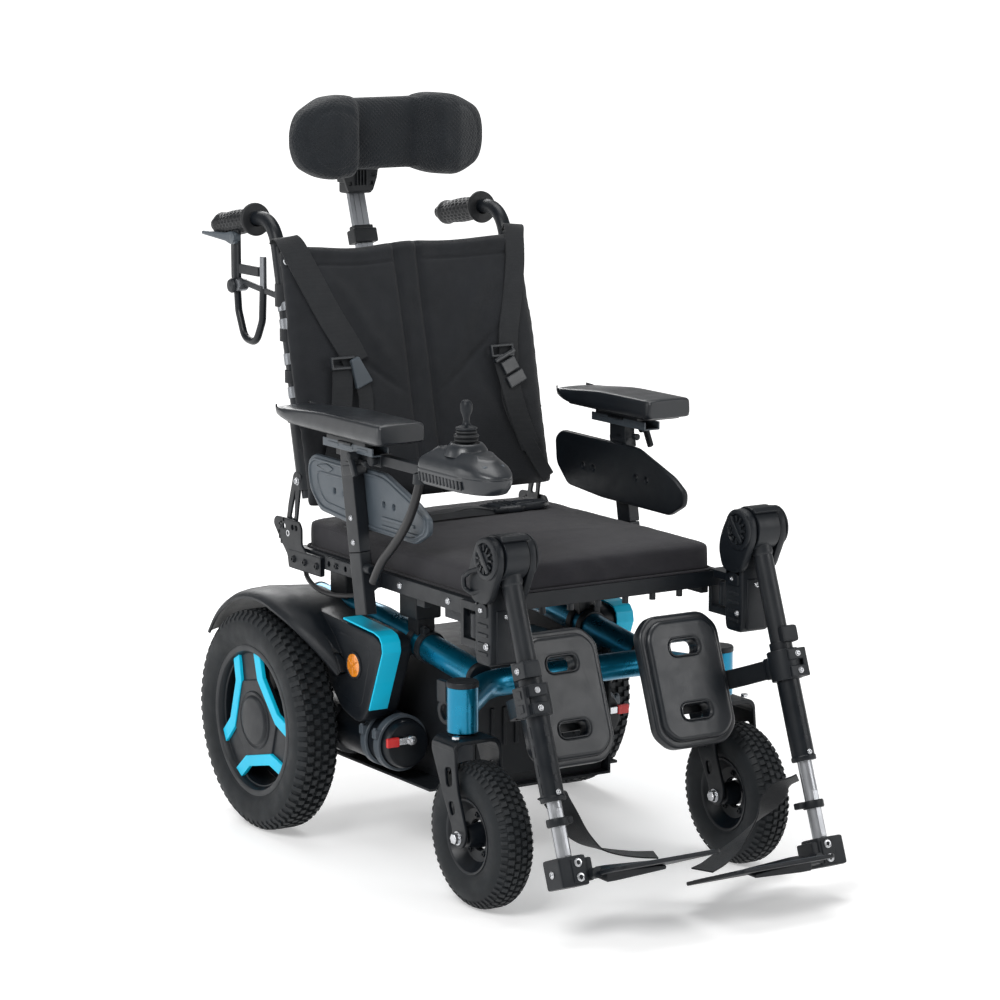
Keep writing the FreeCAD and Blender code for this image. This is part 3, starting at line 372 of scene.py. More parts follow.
class Kit:
    """Gathers the geometry of one piece, in millimetres."""

    def __init__(self):
        self.mesh = bmesh.new()

    def grid(self, rows, close_rows=False, caps=False):
        """Faces between closed rows of places, and over the first and last one if asked."""
        made = [[self.mesh.verts.new(place) for place in row] for row in rows]
        row_pairs = list(zip(made, made[1:])) + ([(made[-1], made[0])] if close_rows else [])
        for first, second in row_pairs:
            count = len(first)
            for index in range(count):
                following = (index + 1) % count
                self.mesh.faces.new((first[index], first[following], second[following],
                                     second[index]))
        if caps:
            self.mesh.faces.new(made[0])
            self.mesh.faces.new(made[-1])
        return made

    def lathe(self, outline, middle, axis, steps=48, ripple=None):
        """A half outline of (distance along the axis, radius) turned round the axis."""
        axis = Vector(axis).normalized()
        side = axis.orthogonal().normalized()
        if abs(axis.dot(X)) > 0.9:
            side = Y.copy()
        other = axis.cross(side)
        rows = []
        for along, radius in outline:
            row = []
            for index in range(steps):
                angle = 2 * math.pi * index / steps
                reach = max(radius, 0.01)
                if ripple:
                    reach += ripple(along, angle)
                row.append(Vector(middle) + axis * along
                           + (side * math.cos(angle) + other * math.sin(angle)) * reach)
            rows.append(row)
        ends = (outline[0], outline[-1])
        closed = min(ends[0][1], ends[1][1]) > 1.5
        if closed and ends[0] == ends[1]:
            rows.pop()
        made = self.grid(rows, close_rows=closed)
        for row, end in ((made[0], ends[0]), (made[-1], ends[1])):
            if end[1] <= 1.5:
                self.mesh.faces.new(row)
        return self

    def box(self, middle, lengths, turn=None, soft=1.0):
        """A block with rounded edges."""
        matrix = Matrix.Translation(Vector(middle))
        if turn is not None:
            matrix = matrix @ turn.to_4x4()
        matrix = matrix @ Matrix.Diagonal((*lengths, 1))
        made = bmesh.ops.create_cube(self.mesh, size=1, matrix=matrix)
        edges = list({edge for vertex in made["verts"] for edge in vertex.link_edges})
        if soft:
            bmesh.ops.bevel(self.mesh, geom=edges, offset=min(soft, min(lengths) * 0.45),
                            segments=2, profile=0.6, affect="EDGES")
        return self

    def slab(self, outline, matrix, thick, soft=0.8, holes=(), steps=2):
        """A flat outline with holes, given thickness both ways from its plane."""
        curve = bpy.data.curves.new("outline", "CURVE")
        curve.dimensions = "2D"
        curve.fill_mode = "BOTH"
        soft = min(soft, thick * 0.45)
        curve.extrude = thick / 2 - soft
        curve.bevel_depth = soft
        curve.bevel_resolution = steps - 1
        curve.offset = -soft
        for loop in (outline, *holes):
            spline = curve.splines.new("POLY")
            spline.points.add(len(loop) - 1)
            for point, place in zip(spline.points, loop):
                point.co = (place[0], place[1], 0, 1)
            spline.use_cyclic_u = True
        holder = bpy.data.objects.new("outline", curve)
        flat = bpy.data.meshes.new_from_object(holder)
        flat.transform(matrix)
        self.mesh.from_mesh(flat)
        bpy.data.objects.remove(holder)
        bpy.data.curves.remove(curve)
        bpy.data.meshes.remove(flat)
        return self

    def side(self, outline, x, thick, soft=0.8, holes=(), corner=3.0):
        """A plate across the X axis, from an outline in Y and Z."""
        loops = [rounded(hole, corner * 0.7) if len(hole) < 12 else hole for hole in holes]
        return self.slab(rounded(outline, corner), facing_x(x), thick, soft, loops)

    def tube(self, path, radius, sides=20):
        """A round bar along a path."""
        places = [Vector(place) for place in path]
        normal = None
        rows = []
        for index, place in enumerate(places):
            ahead = places[min(index + 1, len(places) - 1)]
            behind = places[max(index - 1, 0)]
            tangent = (ahead - behind).normalized()
            if normal is None:
                normal = tangent.orthogonal().normalized()
            normal = (normal - tangent * normal.dot(tangent)).normalized()
            across = tangent.cross(normal)
            row = []
            for step in range(sides):
                angle = 2 * math.pi * step / sides
                row.append(place + across * math.cos(angle) * radius
                           + normal * math.sin(angle) * radius)
            rows.append(row)
        self.grid(rows, caps=True)
        return self

    def ribbon(self, path, ups, wide, thick):
        """A flat band along a path; ups are the ways its face looks at each end or place."""
        places = [Vector(place) for place in path]
        count = len(places) - 1
        rows = []
        for index, place in enumerate(places):
            share = index / count * (len(ups) - 1)
            low = min(int(share), len(ups) - 2)
            up = Vector(ups[low]).lerp(Vector(ups[low + 1]), share - low)
            tangent = (places[min(index + 1, count)] - places[max(index - 1, 0)]).normalized()
            up = (up - tangent * up.dot(tangent)).normalized()
            across = tangent.cross(up)
            row = [place + across * wide / 2 * u + up * thick / 2 * v
                   for u, v in ((-1, -0.6), (-1, 0.6), (-0.96, 1), (0.96, 1), (1, 0.6),
                                (1, -0.6), (0.96, -1), (-0.96, -1))]
            rows.append(row)
        self.grid(rows, caps=True)
        return self

    def bolt(self, middle, axis, radius=5.0, high=4.0):
        """A domed bolt head with a six-sided recess, on a washer."""
        self.lathe([(0, 0), (0, radius * 1.25), (0.8, radius * 1.25), (0.8, radius),
                    (high * 0.6, radius), (high, radius * 0.8), (high, radius * 0.5)],
                   middle, axis, 24)
        self.lathe([(high, radius * 0.5), (high * 0.4, radius * 0.46), (high * 0.4, 0)],
                   middle, axis, 6)
        return self

    def piece(self, name, finish, body, stands_for=(), smooth=38, weld=True):
        """The finished piece: shaded, given its material and tied to its body."""
        if weld:
            bmesh.ops.remove_doubles(self.mesh, verts=self.mesh.verts, dist=0.005)
        bmesh.ops.recalc_face_normals(self.mesh, faces=self.mesh.faces)
        for vertex in self.mesh.verts:
            vertex.co = at(vertex.co)
        data = bpy.data.meshes.new(name)
        self.mesh.to_mesh(data)
        self.mesh.free()
        data.shade_smooth()
        data.set_sharp_from_angle(angle=math.radians(smooth))
        made = bpy.data.objects.new(name, data)
        bpy.context.scene.collection.objects.link(made)
        flat_shading = made.modifiers.new("flat shading", "WEIGHTED_NORMAL")
        flat_shading.keep_sharp = True
        bake(made)
        dress(made, finish)
        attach(made, body)
        if stands_for:
            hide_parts(*stands_for)
        return made


def dress(piece, finish):
    """Give a piece one finish."""
    piece.data.materials.clear()
    piece.data.materials.append(LOOKS[finish])


# ---------------------------------------------------------------- wheels

BLOCK_TAPER = 0.82


def ring_block(kit, middle, out, angle, sweep, low, high, foot, top):
    """One tread block: foot(across) and top(across) give its two radii."""
    spots = []
    for radius, shrink in ((foot, 1.0), (top, BLOCK_TAPER)):
        for turn in (-1, 1):
            for end in (-1, 1):
                across = (low + high) / 2 + end * (high - low) / 2 * shrink
                bearing = angle + turn * sweep / 2 * shrink
                reach = radius(across)
                spots.append(Vector(middle) + X * (out * across)
                             + round_x(bearing) * reach)
    corners = [kit.mesh.verts.new(spot) for spot in spots]
    for face in ((4, 5, 7, 6), (0, 1, 5, 4), (2, 3, 7, 6), (0, 2, 6, 4), (1, 3, 7, 5)):
        kit.mesh.faces.new([corners[index] for index in face])


def drive_tyre(side, sign):
    """A smooth sidewall with four rows of staggered blocks round the crown."""
    middle = (sign * TRACK, 0, WHEEL_Z)
    carcass = [(-30, 121.5), (-31.5, 126), (-34, 129), (-36.4, 140), (-36.8, 150), (-35.6, 160),
               (-31, 168), (-22, 171.8), (0, 172.6)]
    full = carcass + [(-along, radius) for along, radius in carcass[-2::-1]]
    kit = Kit().lathe(full + [(30, 119), (-30, 119), (-30, 121.5)], middle, X, 144)

    def foot(across):
        return 172.0 - max(0.0, abs(across) - 20) ** 2 * 0.055

    def top(across):
        return 177.9 - max(0.0, abs(across) - 18) ** 2 * 0.045

    count = 66
    pitch = 2 * math.pi / count
    for index in range(count):
        angle = index * pitch
        for way in (-1, 1):
            shift = 0.25 * pitch * way
            rows = ((2, 12, 0.0, 0.62), (14, 23.5, 0.5, 0.66), (25, 35.6, 0.02, 0.56))
            for near, far, offset, share in rows:
                low, high = sorted((way * near, way * far))
                ring_block(kit, middle, sign, angle + shift + offset * pitch, pitch * share,
                           low, high, foot, top)
    kit.piece("drive_tyre_body_" + side, "tyre", "drive_wheel_" + side,
              ("drive_tyre_" + side,), weld=False)


def polar(radius, degrees):
    """A place in the wheel's plane, as (Y, Z) from the axle."""
    turn = math.radians(degrees)
    return (radius * math.cos(turn), WHEEL_Z + radius * math.sin(turn))


ACCENTS = (17.3, 137.3, 257.3)


def drive_rim(side, sign):
    """A moulded wheel face with three windows, each framed by a blue accent."""
    body = "drive_wheel_" + side
    middle = Vector((sign * TRACK, 0, WHEEL_Z))
    out = X * sign
    kit = Kit()
    kit.lathe([(-29, 103), (-29, 121.6), (-24, 121.6), (-22, 118), (22, 118), (26, 121.8),
               (30.5, 121.8), (31.5, 117), (30, 112.5), (20, 107), (-20, 104), (-29, 103)],
              middle, out, 96)
    kit.lathe([(-28, 1), (-28, 46), (10, 46), (12, 44), (12, 1)], middle, out, 64)
    disc = [polar(113.2, index * 5) for index in range(72)]
    windows = []
    for centre in ACCENTS:
        loop = [polar(75, centre - 27), polar(101, centre - 36)]
        loop += [polar(105, centre + step) for step in range(-30, 31, 6)]
        loop += [polar(101, centre + 36), polar(75, centre + 27)]
        windows.append(rounded(loop, 3.0, 2))
    kit.slab(disc, facing_x(sign * (TRACK + 15)), 12, 1.6, windows)
    plate = []
    for centre in ACCENTS:
        plate += [polar(71, centre - 36), polar(62, centre - 18), polar(60, centre),
                  polar(62, centre + 18), polar(71, centre + 36)]
    kit.slab(rounded(plate, 5), facing_x(sign * (TRACK + 21)), 6, 2.0)
    kit.lathe([(18, 0), (18, 47), (25.4, 47), (26.6, 45), (25.2, 42.4), (25.2, 40), (27.6, 38),
               (28.6, 34), (29.2, 20), (29.4, 0)], middle, out, 72)
    kit.piece("drive_wheel_face_" + side, "wheel_grey", body, ("drive_rim_" + side,))
    accents = Kit()
    for centre in ACCENTS:
        bar = [polar(110, centre - 47), polar(111, centre - 36), polar(81, centre - 25),
               polar(81, centre + 25), polar(111, centre + 36), polar(110, centre + 47),
               polar(70, centre + 37), polar(69, centre - 37)]
        accents.slab(rounded(bar, 1.5, 3), facing_x(sign * (TRACK + 22.6)), 7, 1.0)
    accents.piece("wheel_accents_" + side, "blue_plastic", body)
    inner = Kit()
    inner.lathe([(-24, 20), (-24, 102), (-18, 102), (-18, 20)], middle, out, 72)
    inner.lathe([(-88, 1), (-88, 10), (-28, 10), (-28, 22), (-20, 24)], middle, out, 40)
    inner.piece("wheel_back_disc_" + side, "black_metal", body)


def caster_wheel(side, sign):
    """A ribbed pneumatic caster with a dished black rim, its bolts and bearing boss."""
    middle = Vector((sign * CASTER_X, CASTER_Y, CASTER_Z))
    kit = Kit()
    carcass = [(-25, 57), (-26.5, 61), (-29, 65), (-30.8, 76), (-30.6, 86), (-27.5, 96),
               (-20, 103.4), (-10, 106.6), (0, 107.2)]
    full = carcass + [(-along, radius) for along, radius in carcass[-2::-1]]
    kit.lathe(full + [(25, 54), (-25, 54), (-25, 57)], middle, X, 128)

    def foot(across):
        return 106.4 - max(0.0, abs(across) - 10) ** 2 * 0.030

    def top(across):
        return 110.4 - max(0.0, abs(across) - 9) ** 2 * 0.034

    count = 54
    pitch = 2 * math.pi / count
    for index in range(count):
        angle = index * pitch
        for way in (-1, 1):
            for near, far, offset, share in ((1.2, 9.5, 0.0, 0.72), (11, 19, 0.5, 0.7),
                                             (20.5, 27.6, 0.1, 0.5)):
                low, high = sorted((way * near, way * far))
                ring_block(kit, middle, 1, angle + (offset + 0.2 * way) * pitch, pitch * share,
                           low, high, foot, top)
    kit.piece("caster_tyre_" + side, "tyre", "caster_wheel_" + side, ("caster_wheel_" + side,),
              weld=False)
    rim = Kit()
    for way in (-1, 1):
        out = X * way
        rim.lathe([(3, 22), (6, 24), (8, 40), (20, 50), (25.5, 53.5), (26.5, 57), (24, 57.5),
                   (20, 54), (3, 50), (3, 22)], middle, out, 72)
        rim.lathe([(0, 6), (24, 6), (29.5, 8), (29.8, 12), (28, 15), (22, 16.5), (6, 19),
                   (0, 19)], middle, out, 40)
        for index in range(5):
            turn = math.radians(18 + index * 72)
            rim.bolt(middle + round_x(turn) * 31 + out * 6.5, out, 4.2, 4)
    rim.piece("caster_rim_" + side, "black_metal", "caster_wheel_" + side)


def caster_fork(side, sign):
    """A bent fork with two openings in each leg, its stem, axle bolt and nuts."""
    pivot = CASTER_Y + 53
    body = "caster_" + side
    outline = [(pivot - 43, 246), (pivot + 21, 246), (pivot + 22, 232), (pivot + 8, 205),
               (pivot - 6, 176), (CASTER_Y + 17, 122), (CASTER_Y + 17, 106),
               (CASTER_Y + 8, 96), (CASTER_Y - 10, 96), (CASTER_Y - 19, 108),
               (CASTER_Y - 22, 124), (pivot - 52, 180), (pivot - 46, 214)]
    holes = [[(pivot - 34, 214), (pivot - 16, 210), (pivot - 21, 182), (pivot - 37, 186)],
             [(pivot - 41, 164), (pivot - 26, 160), (pivot - 34, 140), (pivot - 45, 146)]]
    kit = Kit()
    for way in (-1, 1):
        kit.side(outline, sign * CASTER_X + way * 39, 5.2, 1.6, holes, 9)
    arch = []
    for step in range(9):
        turn = math.radians(step * 11.25)
        arch.append((41.6 - 14 + 14 * math.sin(turn), 238 + 14 * math.cos(turn)))
    top = [(-across, up) for across, up in arch[::-1]] + arch
    inner = [(across * 0.87, up - 6) for across, up in top[::-1]]
    matrix = basis((sign * CASTER_X, pivot - 11, 0), X, Z)
    kit.slab([(across, up) for across, up in top + inner], matrix, 64, 1.2)
    centre = (sign * CASTER_X, pivot, 0)
    kit.lathe([(244, 1), (244, 21), (252.6, 21), (254.4, 18.5), (255.9, 17), (255.9, 11.9),
               (324, 11.9), (324, 1)], centre, Z, 40)
    kit.piece("caster_yoke_" + side, "black_metal", body, ("caster_fork_" + side,))
    bolts = Kit()
    middle = Vector((sign * CASTER_X, CASTER_Y, CASTER_Z))
    bolts.lathe([(-48, 1), (-48, 4), (-46, 5), (46, 5), (48, 4), (48, 1)], middle, X, 24)
    for way in (-1, 1):
        out = X * way
        bolts.lathe([(41.6, 5), (41.6, 10.5), (43, 10.5), (43, 5)], middle, out, 32)
        bolts.lathe([(43, 5), (43, 8.6), (49.5, 8.6), (50.6, 7.6), (51, 4.5), (51, 1)], middle,
                    out, 6)
    bolts.lathe([(254, 1), (254, 6), (258, 6), (258, 1)],
                (sign * (CASTER_X + 30), pivot - 30, 0), Z, 6)
    bolts.piece("caster_axle_bolt_" + side, "steel", body)


# ---------------------------------------------------------------- base

def side_cover(side, sign):
    """Moulded cover with a sloping top, and the fender that flows out of it over the wheel."""
    outer = 234.6
    front = [(-285, 331), (-281, 345), (-264, 354.6), (-90, 367.6), (-20, 383.6), (20, 383.6),
             (0, 340), (-40, 300), (-110, 262), (-160, 218), (-205, 206), (-226, 213),
             (-243, 232)]
    kit = Kit()
    kit.side(front, sign * (outer - 29), 58, 7, (), 9)
    kit.side([(-252, 318), (-247, 336), (-150, 344), (-128, 300), (-160, 246), (-214, 232),
              (-226, 240)], sign * (outer - 1.0), 3.2, 1.5, (), 16)
    rows = []
    for step in range(39):
        degrees = 36 + step * 3.0
        turn = math.radians(degrees)
        narrow = max(0.0, (degrees - 104) / 46)
        lip = 301 - 52 * narrow ** 1.6
        drop = 0.16 * max(0.0, 1 - abs(degrees - 38) / 10)
        section = [(178, 206), (232, 210.5), (250, 212), (lip - 26, 211), (lip - 12, 208.6),
                   (lip - 4, 204.6), (lip, 199.5), (lip - 0.6, 195.4), (lip - 3.5, 195.2),
                   (lip - 8, 200.6), (lip - 22, 204.6), (250, 205), (232, 204), (178, 200)]
        row = []
        for across, radius in section:
            reach = radius - drop * 10
            row.append(Vector((sign * across, reach * math.cos(turn),
                               WHEEL_Z + reach * math.sin(turn))))
        rows.append(row)
    kit.grid(rows, caps=True)
    kit.piece("side_shell_" + side, "black_plastic", "chassis", ("side_cover_" + side,))


def cover_trim(side, sign):
    """The blue band folded over the cover's front edge, and the amber reflector."""
    kit = Kit()
    path = [(-168, 366.0), (-262, 359.6), (-278, 355.4), (-285.4, 346.5), (-288, 332),
            (-266, 281), (-246, 234)]
    places = bent([(sign * 217.5, y, z) for y, z in path], 6, 3)
    kit.ribbon(places, ((0, -0.1, 1), (0, -0.5, 1), (0, -1, 0.35), (0, -1, 0.1)), 33, 3.4)
    stripe = kit.piece("cover_band_" + side, "blue_plastic", "chassis", smooth=50)
    if sign < 0:
        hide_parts("cover_stripes")
    lens = Kit()
    middle = (sign * 234.8, -205, 298)
    lens.lathe([(0, 1), (0, 18.5), (3.2, 18.5), (4.4, 16.5), (5, 0)], middle, X * sign, 48,
               lambda along, angle: 0.4 * math.sin(angle * 6) if along > 3 else 0)
    for index in range(6):
        turn = math.radians(index * 60 + 30)
        place = Vector(middle) + round_x(turn) * 9 + X * sign * 4.6
        lens.box(place, (1.6, 14, 1.6), Matrix.Rotation(turn, 3, "X"), 0.4)
    amber = lens.piece("reflector_lens_" + side, "amber_lens", "chassis")
    if sign < 0:
        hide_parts("reflectors")
    bezel = Kit()
    bezel.lathe([(0, 18.2), (0, 22), (3, 21.6), (4.2, 20), (3.4, 18.5), (0, 18.2)], middle,
                X * sign, 48)
    bezel.piece("reflector_bezel_" + side, "black_plastic", "chassis")


def motor(side, sign):
    """Gearbox and motor with its clamp bands and end cap, and the brake release lever."""
    x = sign * MOTOR_X
    kit = Kit()
    inner = sign * (128 + 48.5)
    kit.box((inner, 0, 180), (97, 100, 96), None, 9)
    outline = [(0, 10), (0, 45), (6, 47), (56, 47), (58, 44), (60, 40), (140, 40), (141, 39),
               (146, 39), (147, 43), (161, 43), (162, 39), (184, 39), (185, 43.4), (201, 43.4),
               (202, 38.6), (216, 38), (221, 35.5), (222.6, 31), (222.8, 1)]
    kit.lathe(outline, (x, -55, MOTOR_Z), -Y, 72)
    for index in range(10):
        turn = math.radians(index * 36)
        place = (x + 36 * math.cos(turn), -150, MOTOR_Z + 36 * math.sin(turn))
        kit.box(place, (5, 34, 9), Matrix.Rotation(-turn, 3, "Y"), 1.2)
    made = kit.piece("motor_housing_" + side, "black_metal", "chassis")
    if sign < 0:
        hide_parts("drive_units")
    clamps = Kit()
    for y in (-205, -245):
        clamps.lathe([(-1, 40), (-1, 44), (0, 45), (13, 45), (14, 44), (14, 40)],
                     (x, y, MOTOR_Z), -Y, 64)
        clamps.box((x + sign * 44, y - 7, 196), (9, 12, 14), None, 1.5)
        clamps.bolt((x + sign * 46, y - 7, 203), Z, 3, 3)
    clamps.piece("motor_clamps_" + side, "grey_plastic", "chassis")
    lever = Kit()
    lever.lathe([(0, 1), (0, 8), (4, 8.4), (9, 8.4), (11, 7), (11.4, 1)], (x, -278.6, 188), -Y, 32)
    lever.box((x + sign * 18, -286, 188), (36, 3.4, 11), None, 1.2)
    lever.bolt((x, -290, 188), -Y, 3.6, 2.4)
    lever.piece("brake_lever_" + side, "steel", "release_lever_" + side,
                ("release_lever_" + side,))
    tip = Kit()
    tip.box((x + sign * 34, -286, 188), (22, 7, 15), None, 2.5)
    tip.piece("brake_lever_tip_" + side, "red_plastic", "release_lever_" + side)


def frame_fittings():
    """Tie-down eyes, clamps on the side tubes, bolts along the rails and the battery cover."""
    eyes = Kit()
    for _, sign in SIDES:
        ring = [(-443, 262), (-436, 246), (-420, 241), (-404, 246), (-397, 262), (-402, 276),
                (-420, 281), (-438, 276)]
        hole = [(-432.2, 262), (-428, 253), (-420, 249.6), (-412, 253), (-407.8, 262),
                (-411, 270), (-420, 274.2), (-429, 270)]
        eyes.side(ring, sign * 200, 8, 2.5, [rounded(hole, 6, 3)], 9)
        eyes.box((sign * 200, -411, 292), (8, 26, 34), None, 2)
    eyes.piece("transport_eyes", "black_metal", "chassis", ("tie_down_eyes",))
    clips = Kit()
    for _, sign in SIDES:
        for y in (-262, -290):
            tube_z = 352 - (abs(y) - 150) * 39 / 282
            clips.lathe([(-6, 22.1), (-6, 25.5), (6, 25.5), (6, 22.1)],
                        (sign * SIDE_TUBE_X, y, tube_z), Vector((0, -1, -0.138)), 40)
            clips.box((sign * 158, y, tube_z + 26), (12, 13, 12), None, 2)
            clips.bolt((sign * 158, y, tube_z + 32), Z, 4, 3)
        clips.box((sign * SIDE_TUBE_X, -265, 395), (38, 34, 5), None, 1)
    clips.piece("tube_clips", "black_plastic", "chassis")
    bolts = Kit()
    for _, sign in SIDES:
        for y in (-520, -470, -330, -150):
            bolts.bolt((sign * 227.2, y, 444), X * sign, 4.2, 3)
        for y in (-565, -556):
            bolts.bolt((sign * 235, y - 12, 458), Z, 4, 3.5)
    bolts.piece("rail_bolts", "steel", "chassis")
    ribs = Kit()
    ribs.box((0, -369, 222), (236, 6, 176), None, 2.6)
    for index in range(9):
        ribs.box((-88 + index * 22, -373.4, 214), (7, 5, 60), None, 1.6)
    ribs.box((0, -373, 282), (120, 5, 22), None, 2)
    ribs.piece("battery_cover_ribs", "black_plastic", "chassis")


# ---------------------------------------------------------------- soft pieces

def puff(piece, pressure, cap, frames=20):
    """Fill a closed fabric form: remesh it, blow it up a little and cap how far it swells."""
    modifier = piece.modifiers.new("even", "REMESH")
    modifier.mode = "VOXEL"
    modifier.voxel_size = 0.006
    bake(piece)
    start = [vertex.co.copy() for vertex in piece.data.vertices]
    cloth = piece.modifiers.new("cloth", "CLOTH")
    cloth.settings.use_pressure = True
    cloth.settings.uniform_pressure_force = pressure
    cloth.settings.effector_weights.gravity = 0
    cloth.settings.quality = 4
    cloth.settings.tension_stiffness = 12
    cloth.settings.compression_stiffness = 4
    cloth.settings.bending_stiffness = 0.4
    scene = bpy.context.scene
    for step in range(1, frames + 1):
        scene.frame_set(step)
    bake(piece)
    scene.frame_set(1)
    for vertex, place in zip(piece.data.vertices, start):
        moved = vertex.co - place
        if moved.length > cap:
            vertex.co = place + moved.normalized() * cap
    smooth = piece.modifiers.new("smooth", "SMOOTH")
    smooth.iterations = 3
    smooth.factor = 0.5
    finer = piece.modifiers.new("finer", "SUBSURF")
    finer.levels = 1
    finer.render_levels = 1
    bake(piece)
    piece.data.shade_smooth()


def move_points(piece, change):
    """Move each point by change(x, y, z), all in millimetres from the axle's line."""
    for vertex in piece.data.vertices:
        place = (vertex.co - Vector((0, AXLE_Y, 0))) / MM
        vertex.co = at(place + change(place))
    piece.data.update()


def dip(distance, width, depth):
    """A soft groove: deepest where the distance is nothing."""
    return -depth * math.exp(-(distance / width) ** 2)


SEAT_CORNER = 22


def seat_cushion():
    """A boxed seat cushion with crowned top, welted seams and soft creases."""
    low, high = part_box("seat_cushion")
    middle = ((low + high) / 2 - Vector((0, AXLE_Y, 0))) / MM
    span = (high - low) / MM
    kit = Kit()
    half = span / 2
    plan = rounded(oblong(half.x - 2, half.y - 2), SEAT_CORNER, 6)
    kit.slab(plan, Matrix.Translation(middle + Vector((0, 0, -4.5))), span.z + 1, 5, (), 3)
    pad = kit.piece("seat_pad", "seat_fabric", "chassis", ("seat_cushion",))
    puff(pad, 3.5, 0.004)

    def relief(place):
        across = abs(place.x) / half.x
        along = abs(place.y - middle.y) / half.y
        crown = 4.5 * (1 - across ** 4) * (1 - along ** 4) - 3.0
        crease = 0.0
        for offset, slant in ((-150, 0.25), (-60, -0.2), (60, 0.3), (150, -0.15)):
            line = place.y - middle.y - offset - slant * place.x
            crease += dip(line, 16, 1.0) * math.cos(place.x / 95 + offset)
        rise = max(0.0, (place.z - middle.z) / (span.z / 2))
        rim = smooth_step(0.93, 0.98, along)
        ruck = 1.3 * math.sin(place.x / 17 + 2 * math.sin(place.x / 41)) * rim
        ruck *= math.sin((place.z - middle.z) / 9 + place.x / 60)
        return Vector((0, ruck, rise * (crown + crease)))

    move_points(pad, relief)
    seams = Kit()
    height = middle.z - span.z / 2 + 1
    places = [Vector((u, v + middle.y, height + 0.5 * math.sin(u / 31 + v / 43)))
              for u, v in rounded(oblong(half.x - 2.4, half.y - 2.4), SEAT_CORNER, 8)]
    seams.tube([*places, places[0]], 1.9, 10)
    seams.piece("seat_piping", "seat_fabric", "chassis")
    zip_kit = Kit()
    rear = middle.y + half.y + 0.6
    zip_kit.ribbon([(-150, rear, middle.z), (150, rear, middle.z)], (Y, Y), 12, 2)
    zip_kit.piece("seat_zip", "webbing", "chassis")


def back_at(x, z, behind=0.0):
    """A place on the back's plane: the canes' centre line, or a distance behind it."""
    return Vector((x, -14 + (z - 598) * BACK_SLOPE + behind, z))


PAD_BEHIND = -21.5


def back_pad():
    """The padded back: two panels, a hollow channel between them, a top hem and creases."""
    low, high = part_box("back_upholstery")
    bottom = low.z / MM
    top = high.z / MM
    half = (high.x - low.x) / MM / 2
    kit = Kit()
    outline = rounded([(-half + 3, 0), (half - 3, 0), (half - 1, (top - bottom) * 0.6),
                       (half - 5, top - bottom - 6), (half - 30, top - bottom - 1),
                       (-half + 30, top - bottom - 1), (-half + 5, top - bottom - 6),
                       (-half + 1, (top - bottom) * 0.6)], 14, 5)
    origin = back_at(0, bottom + 1, PAD_BEHIND)
    stretch = 1 / math.cos(BACK_LEAN)
    kit.slab([(u, v * stretch * 0.998) for u, v in outline], basis(origin, X, BACK_UP), 13, 5,
             (), 3)
    pad = kit.piece("back_pad", "back_fabric", "back", ("back_upholstery",))
    puff(pad, 2.2, 0.005)

    def relief(place):
        x, z = place.x, place.z
        flat = place - back_at(x, z, PAD_BEHIND)
        front = flat.dot(BACK_FORWARD) > 0
        rise = 0.0
        if front:
            edge = 1 - (abs(x) / half) ** 6
            share = (z - bottom) / (top - bottom)
            panel = 1 - ((abs(x) - 118) / 118) ** 4
            rise += 5.0 * max(0.0, panel) * edge * (1 - abs(2 * share - 1) ** 6)
            rise += dip(abs(x) - 20, 4.5, 6.0)
            rise += 3.0 * math.exp(-(x / 13) ** 2)
            rise += dip(z - (top - 36), 3.0, 2.4) * (abs(x) > 24)
            for side in (-1, 1):
                fan = side * x - 45 - (z - 720) * 0.62
                rise += 3.4 * math.exp(-(fan / 17) ** 2) * smooth_step(700, 760, z) \
                    * (1 - smooth_step(860, 900, z)) * (side * x > 24)
                fold = side * x - 36 - (z - 690) * 1.3
                rise += dip(fold, 9, 3.0) * smooth_step(676, 716, z) \
                    * (1 - smooth_step(740, 800, z)) * (side * x > 24)
                low_fold = side * x - 150 + (z - 640) * 0.5
                rise += dip(low_fold, 14, 2.6) * (1 - smooth_step(690, 750, z)) * (side * x > 24)
            rise += 1.0 * math.sin(x / 29 + z / 47) * math.sin(z / 61 - x / 83)
        near_top = smooth_step(top - 90, top, z)
        droop = -8.0 * near_top * math.exp(-((x + 90) / 62) ** 2)
        droop -= 4.0 * near_top * math.exp(-((x - 95) / 70) ** 2)
        rise += 4.0 * near_top * math.exp(-((z - top + 14) / 9) ** 2) * front
        rise += 2.0 * math.sin(x / 19 + 1.5 * math.sin(x / 43)) * near_top
        return BACK_FORWARD * rise + Vector((0, 0, droop))

    move_points(pad, relief)
    flap = Kit()
    for side in (-1, 1):
        for z, width in ((852, 36), (790, 20), (725, 20), (660, 20), (600, 26)):
            centre = back_at(side * CANE_X, z)
            loop = []
            for step in range(15):
                turn = math.radians(-110 + step * 20)
                loop.append(centre + Vector((side * math.sin(turn), math.cos(turn), 0)) * 14.4)
            flap.ribbon(loop, [((place - centre).normalized()) for place in loop], width, 2.2)
    flap.piece("cane_straps", "webbing", "back")


def smooth_step(low, high, value):
    """0 below low, 1 above high, and smooth between."""
    share = min(1.0, max(0.0, (value - low) / (high - low)))
    return share * share * (3 - 2 * share)


def on_back_corner(sign):
    """Where the eyelet sits in the folded corner of the back."""
    return back_at(sign * 221, 908, -34.5)


